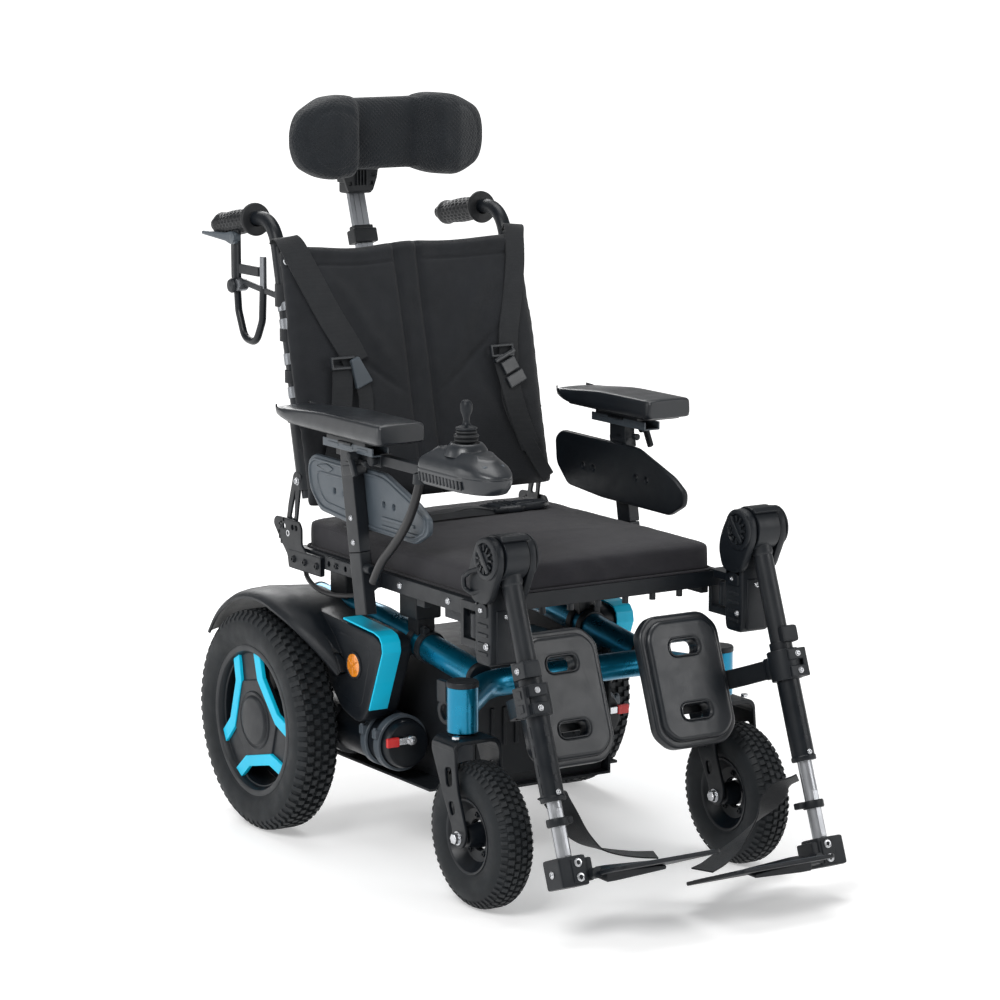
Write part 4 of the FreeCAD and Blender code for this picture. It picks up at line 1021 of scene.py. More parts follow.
def harness():
    """Shoulder straps from the top corners down to plastic adjusters, with their free ends."""
    straps = Kit()
    buckles = Kit()
    latch = Kit()
    forward = BACK_FORWARD
    for sign, low_z, reach, lead in ((-1, 742, 108, 0), (1, 725, 150, 26)):
        def on_back(x, z, lift):
            return back_at(sign * x, z, -30) + forward * lift
        path = [on_back(214, 938, -16), on_back(214, 944, -2), on_back(208, 926, 7),
                on_back(188 + lead * 0.5, 880, 9), on_back(160 + lead, 820, 9),
                on_back(134 + lead * 1.4, 770, 11), on_back(reach + 14, low_z, 12)]
        ups = [(0, 0, 1), (0, -0.6, 1), forward, forward, forward, forward, forward]
        straps.ribbon(along_curve(path, 6), ups, 46 if sign < 0 else 36, 2.4)
        ring = [on_back(reach + 22, low_z + 10, 15), on_back(reach + 12, low_z - 12, 17),
                on_back(reach + 4, low_z - 40, 16)]
        tilt = turn_x(BACK_LEAN) @ Matrix.Rotation(-sign * 0.4, 3, "Y")
        middle = ring[0].lerp(ring[2], 0.5)
        if sign < 0:
            latch.slab(rounded([(-17, -24), (15, -24), (7, 24), (-9, 24)], 3),
                       basis(middle + forward * 2, X + Z * 0.42, Z - X * 0.42), 8, 2)
        else:
            for drop, wide, tall in ((26, 44, 7), (8, 30, 22), (-16, 36, 20)):
                buckles.box(middle + tilt @ Vector((0, 0, drop)) + forward * 2, (wide, 9, tall),
                            tilt, 2.5)
        tail = [on_back(reach + 8, low_z - 26, 12), on_back(reach + 6, low_z - 70, 12),
                on_back(reach + 30, low_z - 130, 12), on_back(reach + 62, low_z - 190, 11)]
        straps.ribbon(along_curve(tail, 6), [forward] * 4, 26, 2.2)
        second = [on_back(150, 738, 14), on_back(156, 700, 16), on_back(168, 640, 14),
                  on_back(186, 585, 11)]
        straps.ribbon(along_curve(second, 6), [forward] * 4, 36, 2.4)
        for drop in (-8, 8):
            buckles.box(on_back(150, 742 + drop, 17), (44, 6, 4.5), turn_x(BACK_LEAN), 1.8)
        for across in (-20, 20):
            buckles.box(on_back(150 + across, 742, 17), (4.5, 6, 18), turn_x(BACK_LEAN), 1.8)
    straps.piece("shoulder_straps", "webbing", "back", ("harness_straps",))
    buckles.piece("strap_buckles", "gloss_black", "back")
    latch.piece("strap_latch", "grey_plastic", "back")
    eyelets = Kit()
    for _, sign in SIDES:
        eyelets.lathe([(0, 3), (0, 6.5), (1.4, 6), (1.4, 3), (0, 3)], on_back_corner(sign),
                      forward, 24)
    eyelets.piece("corner_eyelets", "steel", "back")


def headrest():
    """The pad with its curved wings, and the pierced bracket on a flat stem."""
    low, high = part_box("headrest_pad")
    top = high.z / MM
    wide = (high.x - low.x) / MM / 2
    middle_z = top - 64.5
    rows = []
    count = 56
    for step in range(count + 1):
        u = -1 + 2 * step / count
        x = u * wide * 1.02
        inner = smooth_step(0.27, 0.46, abs(u))
        close = max(0.0, (abs(u) - 0.62) / 0.38)
        cap = math.sqrt(max(0.004, 1 - max(0.0, (abs(u) - 0.88) / 0.12) ** 2.2))
        shrink = (1 - 0.50 * close ** 1.4) * cap
        face = 90 - 52 * inner - 4 * (1 - inner) * u * u + 26 * close
        back = 140 - 26 * smooth_step(0.42, 1.0, abs(u)) ** 1.2 - 6 * close
        tall = (58 + 8.5 * smooth_step(0.28, 0.48, abs(u))) * (0.08 + 0.92 * shrink)
        centre_y = (face + back) / 2
        deep = (back - face) / 2 * (0.30 + 0.70 * shrink)
        sag = 2.5 - 5.0 * smooth_step(0.3, 0.8, abs(u))
        row = []
        for turn_step in range(36):
            turn = 2 * math.pi * turn_step / 36
            c, s = math.cos(turn), math.sin(turn)
            power = 0.46
            row.append(Vector((x, centre_y + deep * math.copysign(abs(c) ** power, c),
                               middle_z + sag + tall * math.copysign(abs(s) ** 0.62, s))))
        rows.append(row)
    kit = Kit()
    kit.grid(rows, caps=True)
    pad = kit.piece("head_cushion", "mesh_fabric", "headrest", ("headrest_pad",), 80)
    finer = pad.modifiers.new("finer", "SUBSURF")
    finer.levels = finer.render_levels = 1
    bake(pad)

    def seams(place):
        push = 0.0
        height = (place.z - middle_z) / 62
        for way in (-1, 1):
            arc = way * wide * (0.29 + 0.06 * height * height)
            push += math.exp(-((place.x - arc) / 2.6) ** 2)
            ring = math.hypot((way * place.x - wide * 0.66) / 44, (place.z - middle_z + 3) / 50)
            push += 0.6 * math.exp(-((ring - 1) / 0.07) ** 2) * (place.y < 78)
        out = Vector((0, place.y - 105, place.z - middle_z)).normalized()
        return out * (-3.2 * push)

    move_points(pad, seams)
    bracket = Kit()
    plan = [(-37, 4), (37, 4), (31, -32), (23, -54), (-23, -54), (-31, -32)]
    holes = [[(-29, -3), (-17, -3), (-14, -14), (-26, -17)],
             [(29, -3), (17, -3), (14, -14), (26, -17)]]
    for spot in ((-23, -26), (-20, -40), (23, -26), (20, -40)):
        holes.append(square(*spot, 2.5))
    bracket.slab(rounded(plan, 4), basis((0, 174, 1052), X, Z), 7, 1.6,
                 [rounded(hole, 1.6, 2) for hole in holes])
    for index in range(4):
        bracket.box((-9 + index * 6, 169, 1026), (2.4, 5, 34), None, 0.8)
    for sign in (-1, 1):
        bracket.box((sign * 25, 187, 1036), (6, 30, 46), None, 2)
    bracket.box((0, 189, 1006), (46, 32, 22), None, 4)
    bracket.lathe([(-30, 1), (-30, 6.5), (-28, 7.5), (28, 7.5), (30, 6.5), (30, 1)],
                  (0, 186, 1046), X, 24)
    bracket.piece("head_bracket", "black_plastic", "headrest_mast", ("headrest_stem",))
    stem = Kit()
    axis = Vector((0, math.sin(STEM_LEAN), math.cos(STEM_LEAN)))
    tilt = turn_x(STEM_LEAN)
    foot = Vector((0, 148, 870))
    stem.box(foot + axis * 42, (29.6, 9.8, 189), tilt, 1.2)
    for sign in (-1, 1):
        stem.box(foot + axis * 42 + Vector((sign * 5.5, -5.2, 1.6)), (5, 0.8, 186),
                 tilt, 0.3)
    stem.piece("head_stem", "stem_grey", "headrest_mast")
    collar = Kit()
    collar.box(foot + axis * 58, (44, 26, 24), tilt, 3)
    collar.box(foot + axis * 72, (36, 18, 8), tilt, 2)
    collar.lathe([(0, 1), (0, 7), (16, 9), (18, 7), (18, 1)], foot + axis * 58 + Y * 12, Y, 10)
    collar.box((0, back_at(0, 870, 66).y, 868), (58, 92, 20), None, 3)
    collar.piece("stem_collar", "black_plastic", "back")
    lug = Kit()
    lug.box((0, 164, 1048), (40, 46, 24), None, 4)
    lug.piece("head_lug", "black_plastic", "headrest")


# ---------------------------------------------------------------- back frame

def canes():
    """Back tubes with their bends, foot brackets, cross bar, stem holder and hanging hook."""
    kit = Kit()
    for _, sign in SIDES:
        x = sign * CANE_X
        run = [back_at(x, 535), back_at(x, 978) + Vector((0, 1, -2)), Vector((x, 272, 947))]
        kit.tube(bent(run, 62, 14), 11.5, 32)
        kit.lathe([(0, 11.4), (0, 15.5), (2, 16.5), (120, 16.5), (124, 15), (126, 11.4)],
                  back_at(x, 548), BACK_UP, 40)
        bracket = [(-11, 475), (-11, 466), (0, 459), (10, 459), (21, 468), (21, 480), (12, 520),
                   (-6, 572), (-12, 577), (-25, 577), (-31, 572)]
        window = [(-8, 500), (6, 500), (-12, 548)]
        kit.side(bracket, sign * 229, 4, 1.2, [rounded(window, 5, 3)], 5)
        kit.side([(-14, 470), (14, 462), (16, 480), (-4, 500), (-16, 494)], sign * 231.6, 2.4, 0.9,
                 (), 6)
    kit.box(back_at(0, 870, 12.5), (429, 6, 26), turn_x(BACK_LEAN), 1.5)
    for way in (-1, 1):
        kit.box(back_at(way * 33, 870, 64) + Z * 4, (10, 105.8, 26), None, 3)
    kit.box(back_at(0, 870, 30) + Z * 4, (60, 30, 26), None, 3)
    kit.box(back_at(0, 870, 108) + Z * 4, (60, 18, 26), None, 3)
    kit.box((HOOK_X, 117, 859), (5, 132, 10), Matrix.Rotation(0.108, 3, "X"), 1.6)
    kit.piece("back_tubes", "black_metal", "back", ("back_canes",))
    bands = Kit()
    for _, sign in SIDES:
        for z in (700, 752, 806, 836):
            bands.lathe([(-9, 11.6), (-9, 13.4), (9, 13.4), (9, 11.6)],
                        back_at(sign * CANE_X, z), BACK_UP, 32)
    bands.piece("cane_sleeves", "stem_grey", "back")
    hook = Kit()
    run = [(HOOK_X, y, z) for y, z in ((184, 925), (184, 870), (178, 815), (158, 772),
                                       (120, 768), (98, 806), (94, 862))]
    hook.tube(bent(run, 26, 8), 6, 24)
    hook.piece("hanging_hook", "black_metal", "back")
    slotted = Kit()
    slotted.box((HOOK_X, 94, 884), (7, 13, 52), None, 2)
    slotted.box((HOOK_X - 3.2, 94, 888), (1.2, 5, 26), None, 0.5)
    slotted.lathe([(-9, 0.5), (-9, 9), (-4, 10.5), (6, 10.5), (9, 9), (9, 0.5)],
                  (HOOK_X, 168, 858), X, 28)
    slotted.piece("hook_guide", "stem_grey", "back")
    plate = Kit()
    plate.side([(172, 948), (198, 944), (198, 868), (190, 846), (176, 846), (172, 868)], HOOK_X, 6,
               1.6, (), 6)
    plate.box((HOOK_X, 140, 884), (5, 66, 16), None, 2)
    plate.lathe([(0, 0.5), (0, 11), (9, 12), (12, 10), (13, 0.5)], (HOOK_X - 3, 180, 856), -X, 28)
    plate.piece("lever_plate", "black_plastic", "back")
    bolts = Kit()
    for _, sign in SIDES:
        bolts.bolt((sign * 231, -19, 562), X * sign, 5.2, 4)
        bolts.bolt((sign * 231.5, 5, 475), X * sign, 6.4, 4.4)
    bolts.bolt((HOOK_X - 3, 184, 934), -X, 4, 3)
    bolts.piece("back_bolts", "steel", "back")


def grips():
    """Moulded hand grips: a flange, a waisted body with rows of dimples and a bulb end."""
    kit = Kit()
    lean_way = Vector((0, 136, -21)).normalized()

    def dimples(along, angle):
        if not 14 < along < 108:
            return 0.0
        shift = math.pi / 10 * (int((along - 14) / 5.875) % 2)
        cell = math.cos((angle + shift) * 10)
        wave = math.cos((along - 14) * 2 * math.pi / 11.75 + (0 if shift == 0 else math.pi))
        return -2.2 * max(0.0, cell) * abs(wave)

    for _, sign in SIDES:
        outline = [(0, 12), (0, 24), (1.4, 26.4), (4, 27), (6.4, 26), (8.5, 23), (12, 20)]
        for step in range(48):
            along = 14 + step * 2
            outline.append((along, 18.6 + 2.0 * math.cos((along - 62) / 96 * math.pi) ** 2))
        outline += [(112, 20.6), (117, 20), (120.5, 17), (122, 12), (122.4, 0.5)]
        kit.lathe(outline, (sign * CANE_X, 136, 966), lean_way, 80, dimples)
    kit.piece("hand_grips", "grip_rubber", "back", ("push_grips",), 50)


def recline_lever():
    """The wedge-shaped release lever under the right grip, with its hub."""
    kit = Kit()
    kit.side([(170, 941), (186, 944), (206, 940), (287, 937), (288, 931), (206, 926), (190, 922),
              (172, 924)], -232, 8, 2.4, (), 4)
    kit.lathe([(-4, 0.5), (-4, 8), (8, 8), (9, 6.6), (9, 0.5)], (-230, 178, 934), -X, 28)
    kit.piece("release_wedge", "grey_plastic", "recline_lever", ("recline_lever",))


def hinges():
    """Pierced recline plates, the perforated rail plates in front of them and the seat pan."""
    outline = [(-100, 420), (4, 420), (8, 440), (30, 461), (52, 484), (51, 492), (44, 498),
               (10, 499), (-30, 498), (-38, 488), (-38, 462), (-52, 452), (-100, 452)]
    kit = Kit()
    for _, sign in SIDES:
        holes = []
        for y in (-22, -10, 18, 30):
            holes.append(rounded(square(y, 486 - 0.05 * y, 4.2), 4, 3))
        kit.side(outline, sign * PLATE_X, 4, 1.2, holes, 4)
        kit.side([(-100, 420), (2, 420), (4, 424), (4, 450), (-100, 452)], sign * 231.6, 9, 2,
                 (), 3)
        perforated = [(-262, 433), (-104, 433), (-104, 455), (-262, 455)]
        holes = []
        for index in range(6):
            holes.append(rounded(square(-118 - index * 26, 444, 4), 4, 3))
        kit.side(perforated, sign * 229.2, 3, 1, holes, 3)
        for degrees in range(-40, 61, 20):
            turn = math.radians(degrees)
            kit.box((sign * PLATE_X, 4 + 30 * math.cos(turn), 474 + 24 * math.sin(turn)),
                    (4, 8, 8), None, 1.6)
    kit.piece("recline_plates", "black_metal", "chassis", ("hinge_plates",))
    bolts = Kit()
    for _, sign in SIDES:
        for y in (-88, -50, -14):
            bolts.bolt((sign * 236, y, 436), X * sign, 5, 3.6)
        for y in (-140, -205):
            bolts.bolt((sign * 230, y, 444), X * sign, 4.4, 3.2)
    bolts.piece("hinge_bolts", "black_metal", "chassis")
    pan = Kit()
    pan.box((0, -273, 454.6), (434, 520, 4), None, 1)
    pan.box((0, -150, 441), (180, 160, 26), None, 5)
    pan.box((0, -404, 441), (220, 120, 20), None, 5)
    for index in range(7):
        pan.lathe([(-6, 0.5), (-6, 5), (4, 5), (6, 3), (6, 0.5)],
                  (-150 + index * 50, -532, 428), Z, 12)
    for _, sign in SIDES:
        pan.box((sign * 150, -262, 404), (46, 52, 56), None, 4)
        pan.box((sign * 150, -45, 404), (46, 52, 56), None, 4)
        pan.box((sign * 214, -480, 424), (14, 60, 16), None, 2)
        pan.box((sign * 214, -380, 426), (14, 24, 14), None, 2)
    pan.piece("seat_pan", "black_plastic", "chassis")


def blue_frame():
    """The painted tubes: two bent side tubes, the bowed front tube and the caster heads."""
    kit = Kit()
    for _, sign in SIDES:
        x = sign * SIDE_TUBE_X
        kit.tube(bent([(x, 52, 356), (x, -150, 352), (x, -432, 313)], 160, 12), 22, 64)
    kit.piece("side_tubes_blue", "blue_metal", "chassis", ("side_tubes",), 50)
    cross = Kit()
    cross.tube(bent([(-233, -520, 292), (-150, -452, 305), (150, -452, 305), (233, -520, 292)],
                    90, 12), 21, 64)
    for _, sign in SIDES:
        cross.lathe([(256, 12.4), (256, 22.5), (257, 23.5), (324, 23.5), (325, 22.5), (325, 12.4)],
                    (sign * CASTER_X, CASTER_Y + 53, 0), Z, 64)
    cross.piece("front_tube_blue", "blue_metal", "chassis", ("front_frame",), 50)
    caps = Kit()
    for _, sign in SIDES:
        caps.lathe([(325, 0.5), (325, 24.5), (331, 24.5), (333, 23), (333, 0.5)],
                   (sign * CASTER_X, CASTER_Y + 53, 0), Z, 48)
        way = Vector((0, -282, -39)).normalized()
        caps.lathe([(0, 0.5), (0, 23), (5, 23), (7.6, 20.5), (8, 0.5)],
                   (sign * SIDE_TUBE_X, -432, 313), way, 48)
        caps.lathe([(0, 0.5), (0, 23), (5, 23), (7.6, 20.5), (8, 0.5)],
                   (sign * SIDE_TUBE_X, 52, 356), Vector((0, 202, 4)), 48)
    caps.piece("tube_end_caps", "black_plastic", "chassis", ("tube_caps",))


# ---------------------------------------------------------------- arms and joystick

def arm_pad(side, sign):
    """A crowned PU armrest: rounded ends, a proud upper shell and a hollowed underside."""
    rear = -32 if sign < 0 else -90
    front = -369
    middle_x = sign * 245
    rows = []
    for step in range(33):
        share = step / 32
        y = front + (rear - front) * (1 - math.cos(share * math.pi)) / 2
        along = (y - front) / (rear - front)
        ends = min(1.0, math.sqrt(max(0.0, 1 - max(0.0, 1 - (y - front) / 9) ** 2)))
        tail = min(1.0, math.sqrt(max(0.0, 1 - max(0.0, 1 - (rear - y) / 34) ** 2)))
        half = 41 * (0.88 + 0.12 * ends) * (0.72 + 0.28 * tail)
        half *= 1 - 0.05 * smooth_step(0.55, 1.0, along)
        top = 699 - 9.5 * smooth_step(0.45, 1.0, along)
        bottom = 667.6 + 8.5 * smooth_step(0.8, 1.0, along)
        top -= 3.5 * (1 - ends) + 3.5 * (1 - tail)
        bottom += 4.0 * (1 - ends) + 3.0 * (1 - tail)
        edge = bottom + 7.5
        row = []
        for across, up in ((-0.86, bottom + 0.5), (-0.96, bottom + 1.6), (-1.0, edge),
                           (-1.0, edge + 5), (-0.985, top - 5.5), (-0.955, top - 2.4),
                           (-0.89, top - 0.6), (-0.6, top + 0.5), (-0.2, top + 0.9),
                           (0.2, top + 0.9), (0.6, top + 0.5), (0.89, top - 0.6),
                           (0.955, top - 2.4), (0.985, top - 5.5), (1.0, edge + 5), (1.0, edge),
                           (0.96, bottom + 1.6), (0.86, bottom + 0.5), (0.3, bottom),
                           (-0.3, bottom)):
            row.append(Vector((middle_x + across * half, y, up)))
        rows.append(row)
    kit = Kit()
    kit.grid(rows, caps=True)
    pad = kit.piece("arm_cushion_" + side, "soft_pu", "arm_" + side, ("arm_pad_" + side,), 60)
    tray = Kit()
    tray.slab(rounded([(-33, front + 14), (33, front + 14), (28, rear - 26), (-28, rear - 26)], 12),
              Matrix.Translation((middle_x, 0, 666.6)), 3.2, 1)
    tray.piece("arm_tray_" + side, "black_plastic", "arm_" + side)


def arm_support(side, sign):
    """The leaning post with its clamp head, slotted rail, lever knob and fixings."""
    body = "arm_" + side
    x = sign * 250
    turn = turn_x(ARM_LEAN)
    foot = Vector((x, -267, 391))
    up = Vector((0, math.sin(ARM_LEAN), math.cos(ARM_LEAN)))
    kit = Kit()
    kit.box(foot + up * 60, (11.8, 26.8, 74), turn, 1.2)
    kit.box(foot + up * 168, (20, 35, 143), turn, 2.4)
    kit.box((x, -229, 640), (20, 45, 40), None, 4)
    kit.box((x, -234, 612), (22, 40, 16), turn, 3)
    kit.box((x, -233, 658), (30, 118, 8), None, 1.6)
    kit.box((x, -233, 654.6), (36, 40, 4), None, 1.2)
    kit.piece("arm_post_body_" + side, "black_metal", body, ("arm_post_" + side,))
    rail = Kit()
    for way in (-1, 1):
        rail.box((x + way * 13.5, -238, 649), (3, 150, 13), None, 0.7)
        for index in range(3):
            rail.box((x + way * 15.2, -284 + index * 44, 649), (0.8, 30, 4.5), None, 0.3)
    rail.box((x, -238, 643.4), (28, 150, 2.4), None, 0.6)
    rail.piece("arm_rail_" + side, "grey_plastic", body)
    knob = Kit()
    place = Vector((x + sign * 13, -262, 638))
    knob.lathe([(0, 0.5), (0, 7), (14, 7), (15, 5.6), (15, 0.5)], place, X * sign, 28)
    knob.box(place + Vector((sign * 10, -7, -14)), (8, 10, 34), Matrix.Rotation(-0.5, 3, "X"), 3)
    knob.lathe([(0, 0.5), (0, 4.5), (10, 5.5), (12, 4), (12, 0.5)], (x, -262, 626), -Y, 24)
    knob.piece("arm_knob_" + side, "black_plastic", body)
    bolts = Kit()
    for along in (112, 150):
        bolts.bolt(foot + up * along + X * sign * 10, X * sign, 3.6, 2.6)
    bolts.piece("arm_bolts_" + side, "steel", body)
    guard = Kit()
    outline = [(-66, 602), (-70, 560), (-104, 528), (-200, 520), (-392, 518), (-430, 538),
               (-432, 560), (-400, 580), (-300, 614), (-84, 616)]
    holes = [rounded(square(y, 566, 4), 3.6, 3) for y in (-150, -180, -300, -330)]
    finish = "grey_plastic" if sign < 0 else "black_plastic"
    guard.side(outline, sign * 232.6, 11, 3.4, holes, 9)
    rim = [(-72, 597), (-77, 562), (-108, 535), (-200, 527), (-388, 525), (-422, 541),
           (-424, 557), (-397, 573), (-302, 606), (-88, 609)]
    path = [Vector((sign * 238.4, point[0], point[1])) for point in rounded(rim, 16, 4)]
    path.append(path[0])
    guard.tube(path, 2.2, 8)
    inner = [(-96, 590), (-100, 566), (-122, 545), (-200, 539), (-240, 539), (-240, 590)]
    path = [Vector((sign * 238, point[0], point[1])) for point in rounded(inner, 12, 4)]
    path.append(path[0])
    guard.tube(path, 1.5, 8)
    guard.box((sign * 239, -345, 545), (3, 96, 5), None, 1.2)
    guard.box((sign * 239, -352, 533), (3, 110, 3), None, 1.0)
    guard.side([(-96, 600), (-128, 606), (-150, 600), (-134, 592)], sign * 238.5, 3, 1.2, (), 5)
    guard.piece("side_guard_" + side, finish, body, ("side_panel_" + side,))
    socket = Kit()
    matrix = Matrix.Translation(foot + up * 48) @ turn.to_4x4()
    socket.slab(rounded(oblong(10, 17.5), 3, 3), matrix, 96, 1.2,
                [rounded(oblong(6.2, 13.7), 2, 2)])
    socket.box((sign * 233.5, -258.5, 444), (13, 35, 24), None, 1.6)
    socket.lathe([(0, 0.5), (0, 8), (9, 8), (13, 6.6), (14, 5), (14, 0.5)],
                 foot + up * 74 - Y * 17.4, -Y, 28)
    made = socket.piece("arm_socket_" + side, "black_metal", "chassis")
    if sign < 0:
        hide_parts("arm_sockets")


def joystick():
    """The pod: vented lower shell, smooth dome with a nose, bellows, stick, keys and dial."""
    x, y = POD_X, POD_Y
    base = Kit()
    plan = rounded([(-40, -455), (-40, -577), (-31, -613), (-13, -634), (13, -634), (31, -613),
                    (40, -577), (40, -455)], 15, 6)

    def belt(shrink, height, nose=0.0):
        row = []
        for point in plan:
            u = point[0] * (1 - shrink)
            v = y + (point[1] - y) * (1 - shrink * 0.75)
            ahead = max(0.0, (-575 - v) / 59)
            row.append(Vector((x + u, v, height - nose * ahead ** 1.5)))
        return row

    rows = [belt(0.20, 625.0), belt(0.12, 625.6, -2), belt(0.03, 632, -4), belt(0.0, 640, -2),
            belt(-0.012, 646.5), belt(-0.012, 648.5), belt(0.004, 649.2), belt(0.004, 650.8),
            belt(-0.005, 651.4), belt(0.0, 656, 3), belt(0.03, 661.5, 7), belt(0.09, 666, 9),
            belt(0.2, 670.5, 10), belt(0.34, 675.5, 10), belt(0.46, 681.5, 9)]
    base.grid(rows, caps=True)
    base.lathe([(-6, 0.5), (-6, 33), (2, 31), (8, 27), (11.5, 24), (12, 21.5), (10, 20), (4, 19),
                (4, 0.5)], (x, y, 680), Z, 56)
    base.piece("pod_shell", "gloss_black", "arm_right", ("joystick_pod",), 45)
    vents = Kit()
    for index in range(13):
        v = -468 - index * 9.5
        for way in (-1, 1):
            vents.box((x + way * 39.4, v, 637), (2.4, 4.2, 13), Matrix.Rotation(way * 0.12, 3, "Y"),
                      0.8)
    vents.piece("pod_vents", "black_plastic", "arm_right")
    marks = Kit()
    for index in range(9):
        turn = math.radians(200 + index * 17.5)
        place = Vector((x + 17 * math.cos(turn), -598 + 9 * math.sin(turn), 0))
        marks.box((place.x, place.y, 666.6), (3.4, 1.6, 1.0), Matrix.Rotation(turn, 3, "Z"), 0.3)
    marks.piece("dial_marks", "dial_print", "arm_right")
    panel = Kit()
    panel.slab(rounded([(-22, -10), (22, -10), (17, 12), (-17, 12)], 6),
               Matrix.Translation((x, -599, 664.6)), 3.4, 1.2)
    panel.piece("dial_panel", "dial_screen", "arm_right")
    keys = Kit()
    for across in (-14, 0, 14):
        keys.lathe([(0, 0.5), (0, 4.8), (2.8, 4.8), (4.2, 4), (4.8, 0.5)],
                   (x + across, -608, 663.4), Z, 24)
    keys.piece("pod_keys", "grey_plastic", "joystick_keys", ("joystick_keys",))
    boot = Kit()
    boot.lathe([(-9, 0.5), (-9, 12), (-7, 16.5), (-5, 17.6), (-3, 17.6), (-1.6, 15), (0, 18),
                (2, 18.8), (4, 17.6), (5.2, 13), (6.6, 15.6), (8.4, 16), (10, 14.4), (11, 10),
                (12, 8), (12, 0.5)], (x, y, 700.5), Z, 56)
    boot.piece("stick_bellows", "grip_rubber", "joystick_gimbal", ("joystick_boot",), 60)
    knob = Kit()
    knob.lathe([(-10, 0.5), (-10, 14.5), (-8.6, 16), (-7, 16), (-5.6, 14), (-4, 8), (0, 5.4),
                (6, 4.9), (12, 6.4), (17, 8.6), (22, 9.3), (27, 9.2), (31, 7.6), (33.4, 5),
                (34, 2.5), (34.2, 0.5)], (x, y, 721), Z, 40)
    knob.piece("stick_knob", "black_plastic", "joystick_stick", ("joystick_stick",), 60)
    bar = Kit()
    bar.box((-240, -312.5, 636), (14.8, 279, 16), None, 1.5)
    bar.box((-240, -452, 640), (26, 36, 30), None, 3)
    bar.box((-238, -470, 627), (40, 60, 5), None, 1.5)
    bar.piece("joystick_rail", "black_metal", "arm_right", ("joystick_bar",))
    clip = Kit()
    clip.box((-240, -300, 636), (20, 26, 22), None, 2)
    clip.lathe([(0, 0.5), (0, 8), (10, 9), (12, 7), (12, 0.5)], (-250, -300, 636), -X, 24)
    clip.lathe([(-3, 7), (-3, 10.5), (12, 9.4), (13, 7)], (-256, -437, 622), Z, 28)
    clip.piece("rail_clip", "black_plastic", "arm_right")


# ---------------------------------------------------------------- legrests

LEG_UP = turn_x(LEG_LEAN)


def on_leg(sign, along, front=0.0, inward=0.0):
    """A place by its distance down the leg from the drum, in front of it and towards the middle."""
    return Vector((sign * (DRUM.x - inward),
                   DRUM.y - along * math.sin(LEG_LEAN) - front * math.cos(LEG_LEAN),
                   DRUM.z - along * math.cos(LEG_LEAN) + front * math.sin(LEG_LEAN)))


def hanger(side, sign):
    """The swing-away casting: an arm to the drum, a ribbed body, its latch and bolts."""
    body = "leg_hanger_" + side
    out = X * sign
    x = sign * DRUM.x
    cheek = [(-631, 467), (-585, 467), (-574, 500), (-580, 524), (-598, 556), (-628, 571),
             (-656, 558), (-661, 527)]
    kit = Kit()
    for way in (-1, 1):
        kit.side(cheek, x + way * 27.6, 13.5, 4.5, (), 15)
        kit.lathe([(0, 0.5), (0, 31), (2.5, 31), (4, 29), (4, 24), (1.5, 22), (1.5, 12),
                   (5, 11), (5.6, 0.5)], (x + way * 34, DRUM.y, DRUM.z), X * way, 48)
    kit.box((x, -605, 477), (54, 44, 64), None, 7)
    kit.side([(-626, 374), (-586, 374), (-583, 392), (-583, 480), (-627, 480), (-629, 420)],
             x, 54, 5, (), 9)
    for way in (-1, 1):
        for index in range(4):
            kit.box((x + way * 27.2, -607, 392 + index * 14), (3, 26, 5), None, 1.2)
        kit.side([(-620, 446), (-592, 446), (-592, 462), (-606, 470), (-620, 462)],
                 x + way * 27.6, 3, 1.2, (), 4)
    kit.box((x, -627.5, 418), (34, 5, 78), None, 2)
    kit.piece("hanger_casting_" + side, "black_plastic", body, ("leg_hanger_" + side,))
    caps = Kit()
    for way in (-1, 1):
        centre = Vector((x + way * 38.4, DRUM.y, DRUM.z))
        for index in range(12):
            turn = index * math.pi / 6
            caps.box(centre + round_x(turn) * 17, (3, 9, 3.2), Matrix.Rotation(turn, 3, "X"), 0.8)
        caps.box(centre + X * way * 1.5, (5, 46, 8), Matrix.Rotation(0.9, 3, "X"), 2)
    caps.box((x, -650, 566), (46, 9, 5), Matrix.Rotation(0.7, 3, "X"), 1.6)
    caps.piece("drum_caps_" + side, "black_metal", body)
    bolts = Kit()
    for y, z in ((-604, 456), (-618, 404), (-592, 498)):
        bolts.bolt((x + sign * 28, y, z), out, 4.4, 3.2)
        bolts.bolt((x - sign * 28, y, z), -out, 4.0, 3)
    bolts.bolt((x, -629, 448), -Y, 4.4, 3)
    bolts.piece("hanger_bolts_" + side, "steel", body)
    pins = Kit()
    pins.lathe([(-18, 6.6), (-18, 16), (-16, 17), (16, 17), (18, 16), (18, 6.6)],
               (x, SWING_Y, 424), Z, 36)
    pins.box((x, SWING_Y - 20, 424), (22, 26, 34), None, 3)
    pins.piece("hanger_pivot_" + side, "black_metal", body)
    loop = Kit()
    ring = bent([(x + sign * 34, -612, 520), (x + sign * 41, -594, 513),
                 (x + sign * 42, -578, 503), (x + sign * 40, -576, 486),
                 (x + sign * 36, -592, 480), (x + sign * 31, -608, 486)], 9, 5)
    loop.tube(ring, 3.6, 12)
    loop.piece("release_loop_" + side, "black_metal", body)


